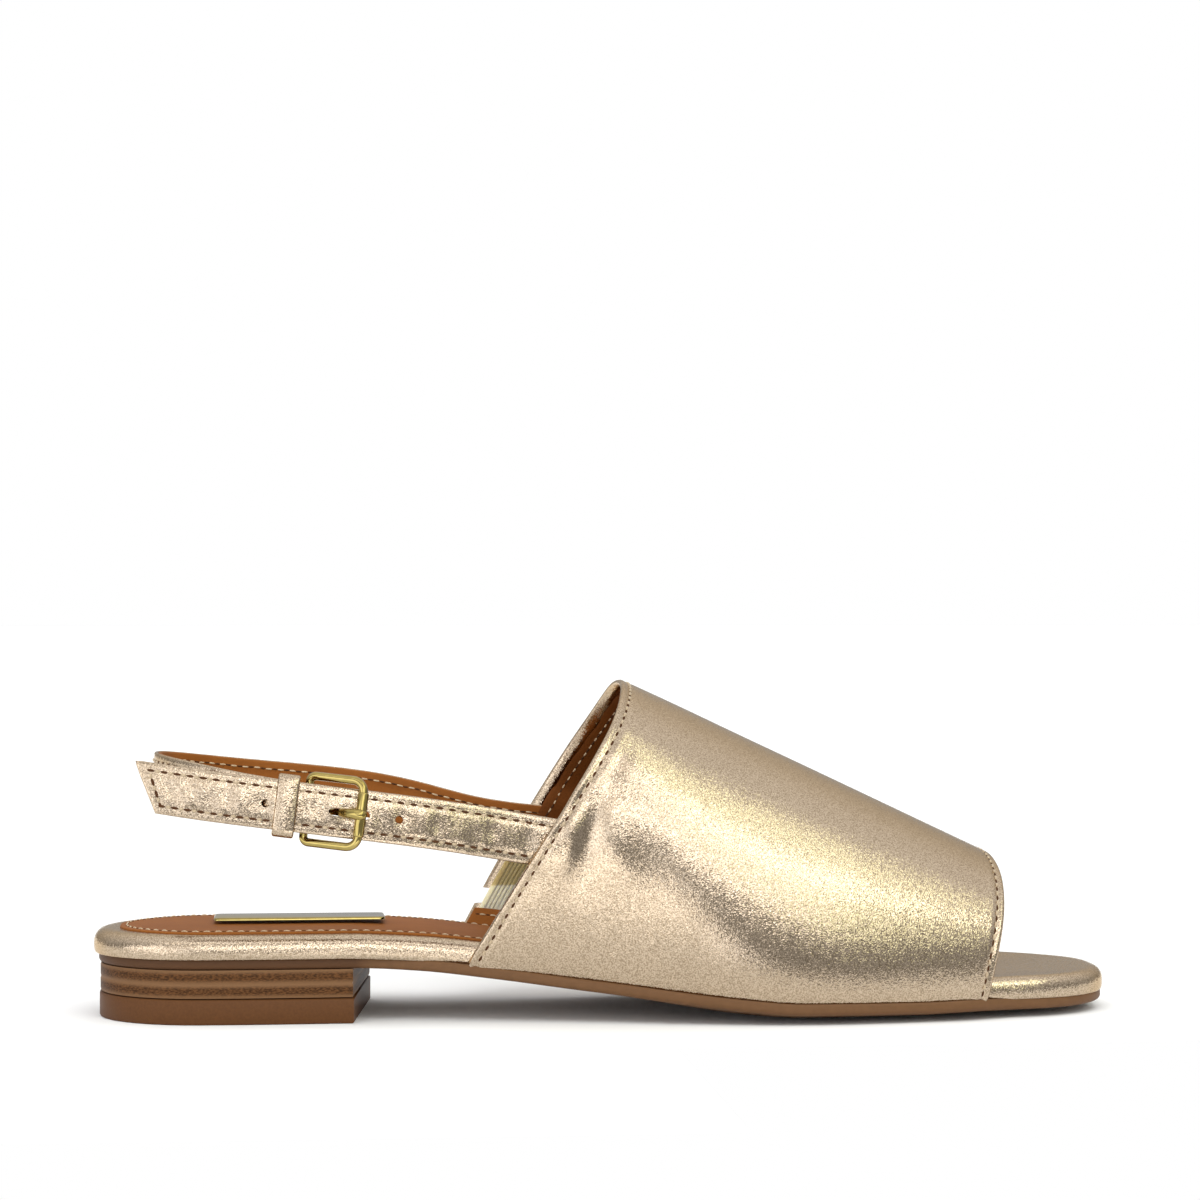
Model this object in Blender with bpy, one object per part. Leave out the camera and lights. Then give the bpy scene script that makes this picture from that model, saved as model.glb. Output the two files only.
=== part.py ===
"""Peep-toe sling-back sandal for the right foot.

The tables are in millimetres: x runs forward from the back of the heel, y to the
inner (medial) side and z up from the floor. Each mesh is turned into metres and
moved so that the origin lies on the floor under the middle of the heel.
"""

import math

import bmesh
import bpy
import numpy as np

MM = 0.001
LATERAL = -1
MEDIAL = 1
UP = np.array((0.0, 0.0, 1.0))
BOX_FACES = ((0, 1, 3, 2), (4, 6, 7, 5), (0, 4, 5, 1), (2, 3, 7, 6), (0, 2, 6, 4), (1, 5, 7, 3))

# Driving sizes
LENGTH = 256.6
HEEL_CENTRE_X = 33.0
GAP = 0.3
SEAT_GAP = 0.45
OUTSOLE_THICK = 2.2
FOOTBED_THICK = 6.3
SOCK_THICK = 0.7
WALL_THICK = 1.8
WALL_OUTSET = GAP + WALL_THICK
LIFT_HEIGHT = 6.2
HEEL_SEAT = 15.7
STRAP_WIDTH = 12.3

# Footbed outline: half widths each side of the heel-to-toe line, before its ends are rounded
OUTLINE_COLUMNS = ("x", "lateral", "medial")
OUTLINE = np.array((
    (0, 26.0, 26.0),
    (30, 28.0, 28.0),
    (50, 28.0, 27.5),
    (70, 27.3, 26.0),
    (90, 27.2, 24.2),
    (110, 29.0, 24.0),
    (130, 32.5, 26.5),
    (150, 36.8, 32.0),
    (168, 39.3, 37.5),
    (185, 39.3, 41.0),
    (200, 37.3, 41.5),
    (216, 34.3, 38.8),
    (232, 31.0, 34.2),
    (257, 26.5, 24.5),
))
HEEL_ROUND = 28.0
HEEL_POWER = 2.2
TOE_ROUND = 26.0
TOE_POWER = 2.5
END_ANGLE = 0.075

# Height of the footbed's underside along its middle, and how much its edges rise over that
SOLE_COLUMNS = ("x", "height", "crown")
SOLE = np.array((
    (0, HEEL_SEAT, 0.0),
    (62, HEEL_SEAT, 0.0),
    (81, 14.9, 0.0),
    (100, 12.8, 0.1),
    (116, 10.4, 0.4),
    (131, 8.0, 0.9),
    (146, 5.4, 1.5),
    (160, 3.3, 2.0),
    (174, OUTSOLE_THICK, 2.1),
    (202, OUTSOLE_THICK, 1.9),
    (221, 2.9, 1.5),
    (240, 3.6, 0.9),
    (257, 4.7, 0.4),
))
FLAT_SHARE = 0.45
CROWN_END_SHARE = 1.2

# Side profiles of the layers: how far in from the outline, and how high over the footbed's underside
OUTSOLE_PROFILE = ((1.4, -OUTSOLE_THICK), (0.3, -1.9), (0.0, -1.1), (0.25, 0.0))
FOOTBED_PROFILE = (
    (2.6, SEAT_GAP), (0.9, 0.7), (0.1, 2.0), (0.0, 3.2), (0.5, 4.7), (1.7, 5.8), (4.2, FOOTBED_THICK),
)
SOLE_STEPS = 36
OUTSOLE_ACROSS = (0, 0.12, 0.275, 0.5, 0.725, 0.88, 1)
FOOTBED_ACROSS = (0, 0.15, 0.32, 0.68, 0.85, 1)
SOCK_INSET = 4.6
SOCK_END_X = 208.0
SOCK_STEPS = 28
SOCK_BASE = FOOTBED_THICK + GAP
SOCK_PROFILE = ((0.0, SOCK_BASE), (0.0, SOCK_BASE + 0.45), (0.4, SOCK_BASE + SOCK_THICK))

# How far the outsole's edge stands outside the footbed outline along the shoe
OUTSOLE_GROW_COLUMNS = ("x", "grow")
OUTSOLE_GROW = np.array(((0, -1.3), (70, -1.3), (96, 1.3), (120, 1.9), (214, 1.9), (230, -0.4), (257, -0.5)))

# Heel block: its front (breast) is cut askew, and its side has two stacked layers
HEEL_INSET = 1.7
BREAST_LATERAL_X = 65.5
BREAST_MEDIAL_X = 71.0
HEEL_STEPS = 16
HEEL_ACROSS = (0, 0.5, 1)
STACK_LAYERS = 2
STACK_BULGE = 0.4
STACK_ROUND = 0.6
LIFT_PROUD = 0.2
LIFT_EDGE = 0.5

# Cross sections of the upper: ridge line, then the widest point of each side over the sole's edge
SECTION_COLUMNS = ("x", "ridge_y", "ridge_z", "lateral_out", "lateral_z", "medial_out", "medial_z")
SECTIONS = np.array((
    (85, 3.0, 104.2, 5.0, 54.0, 9.0, 48.0),
    (110, 3.5, 94.2, 6.8, 53.0, 10.0, 46.0),
    (133, 4.0, 83.9, 5.2, 47.0, 9.0, 41.0),
    (148, 4.5, 77.0, 4.0, 37.0, 7.0, 35.0),
    (163, 5.0, 69.9, 2.6, 26.0, 4.8, 28.0),
    (183, 5.0, 60.5, 1.3, 17.0, 2.4, 20.0),
    (206, 4.5, 49.6, 1.0, 15.0, 1.3, 16.0),
    (231, 4.0, 37.8, 0.8, 15.0, 1.0, 15.0),
))
DOME_POWER = 2.15
LOW_SHARE = 0.3
RISE_STEPS = 18
RUN_STEPS = 16
EDGE_TRIES = 12

# Edges of the upper seen from the side: x of the throat and of the toe opening at each height
EDGE_COLUMNS = ("z", "x")
THROAT = np.array(((8, 88.5), (20, 95.5), (35, 104.2), (51, 113.8), (65, 122.3), (76, 129.0), (90, 136.0)))
TOE_EDGE = np.array(((2, 219.3), (15, 222.0), (29, 226.2), (36, 227.8), (44, 229.0)))

# Slit in the inner side of the upper, bridged on the inside by an elastic gore
SLIT_BACK_X, SLIT_FRONT_X = 85.0, 128.0
SLIT_BACK_Z, SLIT_FRONT_Z = 25.6, 24.0
SLIT_BACK_TALL, SLIT_FRONT_TALL = 5.4, 1.6
SLIT_NEAR_Y, SLIT_FAR_Y = 22.0, 48.0
GORE_THICK = 0.9
GORE_LENGTH = 36.0
GORE_SETBACK = 1.6
GORE_LOW_RISE, GORE_HIGH_RISE = 0.085, 0.205
GORE_STEPS = 8

# Straps: middle line of each band, in rows of x, y and z
LATERAL_ROUTE = np.array((
    (121, -32.8, 43.2),
    (107, -33.5, 45.5),
    (87, -36.2, 49.0),
    (68, -37.5, 51.7),
    (50, -37.3, 54.0),
    (32, -36.2, 56.3),
    (14, -34.1, 58.9),
))
LATERAL_THICK = 1.7
LATERAL_STEPS = 30
TIP_SLANT = 3.3
HEEL_ROUTE = np.array((
    (122, 33.0, 43.0),
    (110, 32.6, 44.2),
    (96, 33.1, 46.5),
    (82, 33.4, 50.2),
    (70, 32.9, 52.8),
    (52, 31.4, 55.1),
    (36, 27.6, 56.8),
    (25, 21.6, 58.2),
    (17.8, 12.4, 59.3),
    (15.3, 1.0, 59.8),
    (16.2, -9.4, 59.7),
    (20.2, -19.0, 59.1),
    (27.0, -26.8, 57.9),
    (35.5, -32.3, 56.3),
))
HEEL_STRAP_THICK = 1.8
HEEL_STRAP_STEPS = 44
BAND_ROUND = 0.5
BAND_ROUND_SHARE = 0.4
FINE_STEPS = 400

# Buckle: bar centres and clearances, in the strap's own frame (along, up, out)
BUCKLE_X = 58.8
BUCKLE_SPAN = 15.1
BUCKLE_TALL = 16.2
BAR_RADIUS = 1.15
BUCKLE_CORNER = 2.8
FRONT_BAR_WIDEN = 0.45
FRONT_BAR_OUT = LATERAL_THICK / 2 + GAP + BAR_RADIUS
CHAPE_THICK = 0.9
CHAPE_BEND = BAR_RADIUS + GAP + CHAPE_THICK / 2
BACK_BAR_OUT = -(LATERAL_THICK / 2 + GAP + CHAPE_THICK / 2 + CHAPE_BEND)
CHAPE_STEPS = 10
BACK_BAR_ALONG = -BUCKLE_SPAN / 2
FRONT_BAR_ALONG = BUCKLE_SPAN / 2
HOLE_RADIUS = 1.2
HOLE_PITCH = 8.05
HOLE_PLACES = (-2, -1, 0, 1, 2)
PRONG_HOLE_ALONG = -0.1
PUNCH_DEPTH = 5.0
ROUND_SIDES = 10
BUCKLE_SIDES = 8
CORNER_STEPS = 5

# Fold of the heel strap: where it starts over the back bar, and where its end lies along the inside
FOLD_LEAD = 4.0
SKIVE_START, SKIVE_LENGTH = 1.2, 12.0
LAP_OUT = -(LATERAL_THICK / 2 + HEEL_STRAP_THICK + CHAPE_THICK / 2 + 0.8)
LAP_COLUMNS = ("behind_bar", "out")
LAP = ((3.2, BACK_BAR_OUT - CHAPE_BEND + 0.2), (7.5, LAP_OUT - 0.3), (15.0, LAP_OUT))

# Prong from its eye, up through the strap and over the front bar
PRONG_RADIUS = 0.85
PRONG_UNDER = -(LATERAL_THICK / 2 + GAP + PRONG_RADIUS)
PRONG_OVER = FRONT_BAR_OUT + BAR_RADIUS + GAP + 0.9 * PRONG_RADIUS
PRONG_COLUMNS = ("along", "out", "radius")
PRONG = (
    (BACK_BAR_ALONG + BAR_RADIUS + 0.5, BACK_BAR_OUT, 0.6),
    (PRONG_HOLE_ALONG - 2.4, PRONG_UNDER - 0.7, 0.75),
    (PRONG_HOLE_ALONG - 0.5, PRONG_UNDER - 0.2, 0.75),
    (PRONG_HOLE_ALONG, PRONG_UNDER + 0.9, 0.75),
    (PRONG_HOLE_ALONG, -PRONG_UNDER - 0.5, 0.75),
    (PRONG_HOLE_ALONG + 0.7, -PRONG_UNDER + 0.6, PRONG_RADIUS),
    (PRONG_HOLE_ALONG + 2.6, -PRONG_UNDER + 1.3, PRONG_RADIUS),
    (FRONT_BAR_ALONG - 0.6, PRONG_OVER, PRONG_RADIUS),
    (FRONT_BAR_ALONG + BAR_RADIUS + 0.2, PRONG_OVER - 0.35, 0.6),
)
EYE_INNER, EYE_OUTER = BAR_RADIUS + 0.18, 2.0
EYE_WIDE = 2.2
EYE_STEPS = 16
PRONG_SLOT_WIDE = 3.0
PRONG_SLOT_REACH = 9.0

# Keeper loop round both straps
KEEPER_ALONG = -11.7
KEEPER_WIDE = 5.3
KEEPER_THICK = 1.2
KEEPER_CORNER = 1.4

# Blank plate on the sock at the heel
PLATE_CENTRE = (51.5, 3.5)
PLATE_SIZE = (43.0, 13.0)
PLATE_THICK = 0.7
PLATE_CORNER = 1.5

SMOOTH_ANGLE = math.radians(40)

# Materials
FINISH_COLUMNS = ("colour", "roughness", "metallic")
FINISHES = {
    "foil_leather": ((0.58, 0.46, 0.29), 0.38, 0.85),
    "lining_leather": ((0.30, 0.15, 0.07), 0.55, 0.0),
    "outsole_resin": ((0.17, 0.088, 0.042), 0.45, 0.0),
    "stacked_fibre": ((0.16, 0.08, 0.036), 0.4, 0.0),
    "lift_rubber": ((0.15, 0.07, 0.033), 0.5, 0.0),
    "elastic_web": ((0.45, 0.37, 0.25), 0.8, 0.0),
    "brass": ((0.72, 0.58, 0.28), 0.18, 1.0),
}


def clear_scene():
    """Empty the file of whatever it holds."""
    for obj in list(bpy.data.objects):
        bpy.data.objects.remove(obj, do_unlink=True)


def curve_through(knots, values, at):
    """Natural cubic through the knots: smooth, for outlines and routes."""
    knots = np.asarray(knots, float)
    values = np.asarray(values, float)
    gap = np.diff(knots)
    count = len(knots)
    matrix = np.eye(count)
    right = np.zeros(count)
    for i in range(1, count - 1):
        matrix[i, i - 1:i + 2] = gap[i - 1], 2 * (gap[i - 1] + gap[i]), gap[i]
        right[i] = 6 * ((values[i + 1] - values[i]) / gap[i] - (values[i] - values[i - 1]) / gap[i - 1])
    bend = np.linalg.solve(matrix, right)
    at = np.clip(at, knots[0], knots[-1])
    i = np.clip(np.searchsorted(knots, at) - 1, 0, count - 2)
    left = at - knots[i]
    rest = knots[i + 1] - at
    straight = (values[i] / gap[i] - bend[i] * gap[i] / 6) * rest
    straight = straight + (values[i + 1] / gap[i] - bend[i + 1] * gap[i] / 6) * left
    return straight + (bend[i] * rest**3 + bend[i + 1] * left**3) / (6 * gap[i])


def steady_through(knots, values, at):
    """Cubic that never overshoots its knots, so flat stretches stay flat."""
    knots = np.asarray(knots, float)
    values = np.asarray(values, float)
    gap = np.diff(knots)
    slope = np.diff(values) / gap
    lean = np.zeros(len(knots))
    lean[0], lean[-1] = slope[0], slope[-1]
    for i in range(1, len(slope)):
        if slope[i - 1] * slope[i] > 0:
            lean[i] = 2 * slope[i - 1] * slope[i] / (slope[i - 1] + slope[i])
    at = np.clip(at, knots[0], knots[-1])
    i = np.clip(np.searchsorted(knots, at) - 1, 0, len(gap) - 1)
    t = (at - knots[i]) / gap[i]
    start = values[i] * (1 + 2 * t) * (1 - t)**2 + values[i + 1] * t**2 * (3 - 2 * t)
    return start + gap[i] * (lean[i] * t * (1 - t)**2 - lean[i + 1] * t**2 * (1 - t))


def column(table, names, name, at, through=curve_through):
    """One named column of a table, read at x (or z) through its rows."""
    return through(table[:, 0], table[:, names.index(name)], at)


def end_share(x):
    """Share of the full width left at x by the round heel and the squarer toe."""
    back = max(0.0, (HEEL_ROUND - x) / HEEL_ROUND)
    front = max(0.0, (TOE_ROUND - (LENGTH - x)) / TOE_ROUND)
    heel = max(0.0, 1 - back**HEEL_POWER)**(1 / HEEL_POWER)
    toe = max(0.0, 1 - front**TOE_POWER)**(1 / TOE_POWER)
    return heel * toe


def side_width(x, side):
    """Width of the footbed on one side of the heel-to-toe line, with its ends not yet rounded."""
    return float(column(OUTLINE, OUTLINE_COLUMNS, "lateral" if side == LATERAL else "medial", x))


def footbed_edge(x, side):
    """y of the footbed's edge on one side."""
    lateral, medial = side_width(x, LATERAL), side_width(x, MEDIAL)
    middle, half = (medial - lateral) / 2, (medial + lateral) / 2
    return middle + side * half * end_share(x)


def sole_height(x, y):
    """Underside of the footbed: its profile, with the edges of the forefoot crowned up."""
    lateral, medial = side_width(x, LATERAL), side_width(x, MEDIAL)
    share = abs(y - (medial - lateral) / 2) / ((medial + lateral) / 2)
    over = max(0.0, min(share, CROWN_END_SHARE) - FLAT_SHARE) / (1 - FLAT_SHARE)
    crown = float(column(SOLE, SOLE_COLUMNS, "crown", x, steady_through))
    return float(column(SOLE, SOLE_COLUMNS, "height", x, steady_through)) + crown * over**2


def floor_height(_x, _y):
    """Base of the pieces that are measured from the floor."""
    return 0.0


def stations(start, end, count, close_end=True):
    """x values from start to end, closer together at a round end."""
    full = math.pi if close_end else math.pi / 2
    angles = np.linspace(END_ANGLE, full - END_ANGLE if close_end else full, count)
    return start + (end - start) * (1 - np.cos(angles)) / (1 - math.cos(full))


def outline_rungs(lateral_xs, medial_xs):
    """Points of the two edges, paired across the shoe."""
    lateral = np.array([(x, footbed_edge(x, LATERAL)) for x in lateral_xs])
    medial = np.array([(x, footbed_edge(x, MEDIAL)) for x in medial_xs])
    return lateral, medial


def edge_ring(rungs, across):
    """Closed outline of the rungs: lateral edge, toe, medial edge, heel."""
    lateral, medial = rungs
    toe = [lateral[-1] + (medial[-1] - lateral[-1]) * share for share in across[1:-1]]
    heel = [medial[0] + (lateral[0] - medial[0]) * share for share in across[1:-1]]
    return np.array([*lateral, *toe, *medial[::-1], *heel])


def inset_ring(ring, distance):
    """The outline moved inward by a distance, one for all or one for each point."""
    along = np.roll(ring, -1, axis=0) - np.roll(ring, 1, axis=0)
    along /= np.linalg.norm(along, axis=1)[:, None]
    inward = np.column_stack((-along[:, 1], along[:, 0]))
    return ring + inward * np.broadcast_to(distance, len(ring))[:, None]


def layer_solid(rungs, across, profile, height_at, grow=None):
    """Vertices and faces of one sole layer: rings up its side, closed by a grid above and below."""
    count, parts = len(rungs[0]), len(across) - 1
    ring = edge_ring(rungs, across)
    outset = np.zeros(len(ring)) if grow is None else np.array([grow(x) for x, _ in ring])
    points, faces, ring_ids, grids = [], [], [], []
    for inset, rise in profile:
        flat = inset_ring(ring, inset - outset)
        ring_ids.append(range(len(points), len(points) + len(flat)))
        points += [(x, y, height_at(x, y) + rise) for x, y in flat]
    for level in (0, len(profile) - 1):
        ids = list(ring_ids[level])
        grid = np.zeros((count, parts + 1), int)
        grid[:, 0] = ids[:count]
        grid[-1, 1:-1] = ids[count:count + parts - 1]
        grid[:, -1] = ids[count + parts - 1:2 * count + parts - 1][::-1]
        grid[0, 1:-1] = ids[2 * count + parts - 1:][::-1]
        rise = profile[level][1]
        for i in range(1, count - 1):
            start, end = np.array(points[grid[i, 0]]), np.array(points[grid[i, -1]])
            for j in range(1, parts):
                x, y, _ = start + (end - start) * across[j]
                grid[i, j] = len(points)
                points.append((x, y, height_at(x, y) + rise))
        grids.append(grid)
    for low, high in zip(ring_ids, ring_ids[1:]):
        size = len(low)
        faces += [(low[i], low[(i + 1) % size], high[(i + 1) % size], high[i]) for i in range(size)]
    for grid in grids:
        faces += grid_faces(grid)
    return points, faces


def grid_faces(grid):
    """Quads between neighbouring rows and columns of vertex numbers."""
    rows, columns = grid.shape
    return [
        (grid[i, j], grid[i + 1, j], grid[i + 1, j + 1], grid[i, j + 1])
        for i in range(rows - 1) for j in range(columns - 1)
    ]


def shell_solid(outer, inner):
    """Closed wall between two grids of points of the same shape."""
    rows, columns, _ = outer.shape
    points = np.concatenate((outer.reshape(-1, 3), inner.reshape(-1, 3)))
    out_ids = np.arange(rows * columns).reshape(rows, columns)
    in_ids = out_ids + rows * columns
    faces = grid_faces(out_ids) + grid_faces(in_ids)
    border = [*out_ids[0], *out_ids[1:, -1], *out_ids[-1, -2::-1], *out_ids[-2:0:-1, 0]]
    for a, b in zip(border, border[1:] + border[:1]):
        faces.append((a, b, b + rows * columns, a + rows * columns))
    return points, faces


def material(node, finish):
    """Principled material of one node, named after it and its finish."""
    colour, roughness, metallic = FINISHES[finish]
    made = bpy.data.materials.new(f"{node}_{finish}")
    made.use_nodes = True
    shader = made.node_tree.nodes["Principled BSDF"]
    shader.inputs["Base Color"].default_value = (*colour, 1.0)
    shader.inputs["Roughness"].default_value = roughness
    shader.inputs["Metallic"].default_value = metallic
    made.diffuse_color = (*colour, 1.0)
    return made


def add_solid(name, solid, finish, parent):
    """New object from points in millimetres, with its faces turned outward."""
    points, faces = solid
    shift = np.array((HEEL_CENTRE_X, 0.0, 0.0))
    mesh = bpy.data.meshes.new(name)
    mesh.from_pydata(((np.asarray(points) - shift) * MM).tolist(), [], [tuple(map(int, f)) for f in faces])
    shaped = bmesh.new()
    shaped.from_mesh(mesh)
    bmesh.ops.recalc_face_normals(shaped, faces=shaped.faces)
    shaped.to_mesh(mesh)
    shaped.free()
    mesh.shade_smooth()
    mesh.set_sharp_from_angle(angle=SMOOTH_ANGLE)
    obj = bpy.data.objects.new(name, mesh)
    bpy.context.scene.collection.objects.link(obj)
    obj.parent = parent
    if finish:
        mesh.materials.append(material(name, finish))
    return obj


def cut(obj, name, solids, parent, operation="DIFFERENCE"):
    """Cut shapes out of a piece, or join them to it, with a helper that isn't rendered."""
    points, faces = [], []
    for more_points, more_faces in solids:
        faces += [tuple(i + len(points) for i in face) for face in more_faces]
        points += [tuple(point) for point in more_points]
    helper = add_solid(name, (points, faces), None, parent)
    helper.hide_render = True
    helper.display_type = "WIRE"
    modifier = obj.modifiers.new(name, "BOOLEAN")
    modifier.operation = operation
    modifier.solver = "EXACT"
    modifier.object = helper


# Sole


def outsole_solid():
    """Thin outsole under the whole footbed, with toe spring and a raised waist."""
    xs = stations(0, LENGTH, SOLE_STEPS)

    def grow(x):
        return float(column(OUTSOLE_GROW, OUTSOLE_GROW_COLUMNS, "grow", x, steady_through))

    return layer_solid(outline_rungs(xs, xs), OUTSOLE_ACROSS, OUTSOLE_PROFILE, sole_height, grow)


def footbed_solid():
    """Padded board with a round rim."""
    xs = stations(0, LENGTH, SOLE_STEPS)
    return layer_solid(outline_rungs(xs, xs), FOOTBED_ACROSS, FOOTBED_PROFILE, sole_height)


def sock_solid():
    """Thin sock on the footbed, from the heel to under the upper."""
    xs = stations(0, SOCK_END_X, SOCK_STEPS, close_end=False)
    profile = [(SOCK_INSET + inset, rise) for inset, rise in SOCK_PROFILE]
    return layer_solid(outline_rungs(xs, xs), FOOTBED_ACROSS, profile, sole_height)


def heel_rungs():
    """Edges of the heel from its back to the askew breast."""
    return outline_rungs(
        stations(0, BREAST_LATERAL_X, HEEL_STEPS, close_end=False),
        stations(0, BREAST_MEDIAL_X, HEEL_STEPS, close_end=False),
    )


def heel_stack_solid():
    """Heel block with stacked layers showing on its side."""
    low = LIFT_HEIGHT + GAP
    high = HEEL_SEAT - OUTSOLE_THICK - GAP
    tall = (high - low) / STACK_LAYERS
    profile = []
    for layer in range(STACK_LAYERS):
        base = low + layer * tall
        ends = ((STACK_BULGE, 0.0), (0.0, STACK_ROUND), (0.0, tall - STACK_ROUND))
        profile += [(HEEL_INSET + inset, base + rise) for inset, rise in ends]
    profile.append((HEEL_INSET + STACK_BULGE, high))
    return layer_solid(heel_rungs(), HEEL_ACROSS, profile, floor_height)


def heel_lift_solid():
    """Lift that the heel stands on."""
    inset = HEEL_INSET - LIFT_PROUD
    profile = (
        (inset + LIFT_EDGE, 0.0),
        (inset, LIFT_EDGE),
        (inset, LIFT_HEIGHT - LIFT_EDGE),
        (inset + LIFT_EDGE, LIFT_HEIGHT),
    )
    return layer_solid(heel_rungs(), HEEL_ACROSS, profile, floor_height)


# Upper


def section_point(x, side, rise):
    """Point of the upper's outside: rise goes from 0 at the sole's edge to 1 on the ridge."""
    name = "lateral" if side == LATERAL else "medial"
    edge = footbed_edge(x, side)
    base_y = edge + side * WALL_OUTSET
    base_z = sole_height(x, base_y) + SEAT_GAP
    wide_y = base_y + side * float(column(SECTIONS, SECTION_COLUMNS, name + "_out", x))
    wide_z = float(column(SECTIONS, SECTION_COLUMNS, name + "_z", x))
    ridge_y = float(column(SECTIONS, SECTION_COLUMNS, "ridge_y", x))
    ridge_z = float(column(SECTIONS, SECTION_COLUMNS, "ridge_z", x))
    if rise < LOW_SHARE:
        part = rise / LOW_SHARE
        return x, base_y + (wide_y - base_y) * math.sin(part * math.pi / 2), base_z + (wide_z - base_z) * part
    angle = (rise - LOW_SHARE) / (1 - LOW_SHARE) * math.pi / 2
    out = max(0.0, math.cos(angle))**(2 / DOME_POWER)
    up = math.sin(angle)**(2 / DOME_POWER)
    return x, ridge_y + (wide_y - ridge_y) * out, wide_z + (ridge_z - wide_z) * up


def edge_x(table, side, rise):
    """x where a line of equal rise meets the throat or the toe opening."""
    x = float(table[0, 1])
    for _ in range(EDGE_TRIES):
        x = float(column(table, EDGE_COLUMNS, "x", section_point(x, side, rise)[2], steady_through))
    return x


def upper_lines():
    """(side, rise) of each line of the upper, from the lateral sole edge over the ridge."""
    rises = np.linspace(0, 1, RISE_STEPS + 1)
    return [(LATERAL, rise) for rise in rises] + [(MEDIAL, rise) for rise in rises[-2::-1]]


def grid_normals(grid):
    """Unit normals of a grid of points: its rows crossed with its columns."""
    normal = np.cross(np.gradient(grid, axis=0), np.gradient(grid, axis=1))
    return normal / np.linalg.norm(normal, axis=2)[..., None]


def upper_grid():
    """Outside of the upper as rows of points from throat to toe opening."""
    rows = []
    for side, rise in upper_lines():
        xs = np.linspace(edge_x(THROAT, side, rise), edge_x(TOE_EDGE, side, rise), RUN_STEPS + 1)
        rows.append([section_point(x, side, rise) for x in xs])
    return np.array(rows)


def upper_solid():
    """Hollow vamp, open at the throat, at the toe and underneath."""
    outer = upper_grid()
    inward = grid_normals(outer)
    for sole_edge in (0, -1):
        inward[sole_edge, :, 2] = 0
    inward /= np.linalg.norm(inward, axis=2)[..., None]
    return shell_solid(outer, outer + inward * WALL_THICK)


def slit_solid():
    """Wedge that opens the inner side of the vamp from its rear edge."""
    ends = (
        (SLIT_BACK_X, SLIT_BACK_Z, SLIT_BACK_TALL),
        (SLIT_FRONT_X, SLIT_FRONT_Z, SLIT_FRONT_TALL),
    )
    points = [
        (x, y, z + tall * part)
        for x, z, tall in ends for y in (SLIT_NEAR_Y, SLIT_FAR_Y) for part in (-0.5, 0.5)
    ]
    return points, BOX_FACES


def gore_solid():
    """Elastic gore against the inside of the vamp, bridging the slit."""
    rows = []
    for rise in np.linspace(GORE_LOW_RISE, GORE_HIGH_RISE, GORE_STEPS + 1):
        start = edge_x(THROAT, MEDIAL, rise) + GORE_SETBACK
        xs = np.linspace(start, start + GORE_LENGTH, GORE_STEPS + 1)
        rows.append([section_point(x, MEDIAL, rise) for x in xs])
    outer = np.array(rows)
    outward = grid_normals(outer)
    face = WALL_THICK + GAP
    return shell_solid(outer - outward * face, outer - outward * (face + GORE_THICK))


# Straps and buckle


def route(table, count):
    """Even points along a smooth curve through the route's own points."""
    steps = np.linalg.norm(np.diff(table, axis=0), axis=1)
    knots = np.concatenate(((0.0,), np.cumsum(steps)))
    at = np.linspace(0, knots[-1], count)
    return np.column_stack([curve_through(knots, table[:, axis], at) for axis in range(3)])


def tangents(points, closed=False):
    """Unit direction of travel at each point."""
    if closed:
        along = np.roll(points, -1, axis=0) - np.roll(points, 1, axis=0)
    else:
        along = np.gradient(points, axis=0)
    return along / np.linalg.norm(along, axis=1)[:, None]


def upright(along):
    """Width direction of a band that stands on edge: as near to up as its run allows."""
    across = UP - along * along[:, 2:3]
    return across / np.linalg.norm(across, axis=1)[:, None]


def sweep(points, across, profiles, closed=False):
    """Closed solid swept along points; a profile's columns lie across and outward."""
    along = tangents(points, closed)
    outward = np.cross(along, across)
    rings = [
        p + profile[:, :1] * a + profile[:, 1:] * o
        for p, a, o, profile in zip(points, across, outward, profiles)
    ]
    count, size = len(rings), len(profiles[0])
    faces = []
    for i in range(count if closed else count - 1):
        low, high = i * size, (i + 1) % count * size
        faces += [(low + k, low + (k + 1) % size, high + (k + 1) % size, high + k) for k in range(size)]
    if not closed:
        faces += [tuple(range(size)), tuple(range((count - 1) * size, count * size))]
    return np.concatenate(rings), faces


def band_profile(wide, thick, corner=BAND_ROUND):
    """Flat band with its corners cut round."""
    corner = min(corner, thick * BAND_ROUND_SHARE)
    half, deep = wide / 2, thick / 2
    return np.array((
        (half - corner, deep), (half, deep - corner), (half, corner - deep), (half - corner, -deep),
        (corner - half, -deep), (-half, corner - deep), (-half, deep - corner), (corner - half, deep),
    ))


def round_profile(radius, sides=ROUND_SIDES):
    """Round bar."""
    turn = np.linspace(0, 2 * math.pi, sides, endpoint=False)
    return np.column_stack((np.cos(turn), np.sin(turn))) * radius


class StrapFrame:
    """The lateral strap's own directions at one x: along to the vamp, up across it, and out."""

    def __init__(self, x):
        fine = route(LATERAL_ROUTE, FINE_STEPS)
        nearest = int(np.argmin(abs(fine[:, 0] - x)))
        self.origin = fine[nearest]
        self.along = -tangents(fine)[nearest]
        self.up = upright(self.along[None])[0]
        self.out = np.cross(self.along, self.up)

    def place(self, local):
        """Points given as (along, up, out) put into the shoe."""
        local = np.atleast_2d(np.asarray(local, float))
        return self.origin + local @ np.array((self.along, self.up, self.out))


def lateral_strap_solid():
    """Holed strap from under the vamp to its slanted tip."""
    points = route(LATERAL_ROUTE, LATERAL_STEPS)
    across = upright(tangents(points))
    solid, faces = sweep(points, across, [band_profile(STRAP_WIDTH, LATERAL_THICK)] * len(points))
    size = len(solid) // len(points)
    run = tangents(points)[-1]
    tip = solid[-size:]
    share = (tip - points[-1]) @ across[-1] / (STRAP_WIDTH / 2)
    solid[-size:] = tip + run * (TIP_SLANT * share)[:, None]
    return solid, faces


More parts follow.
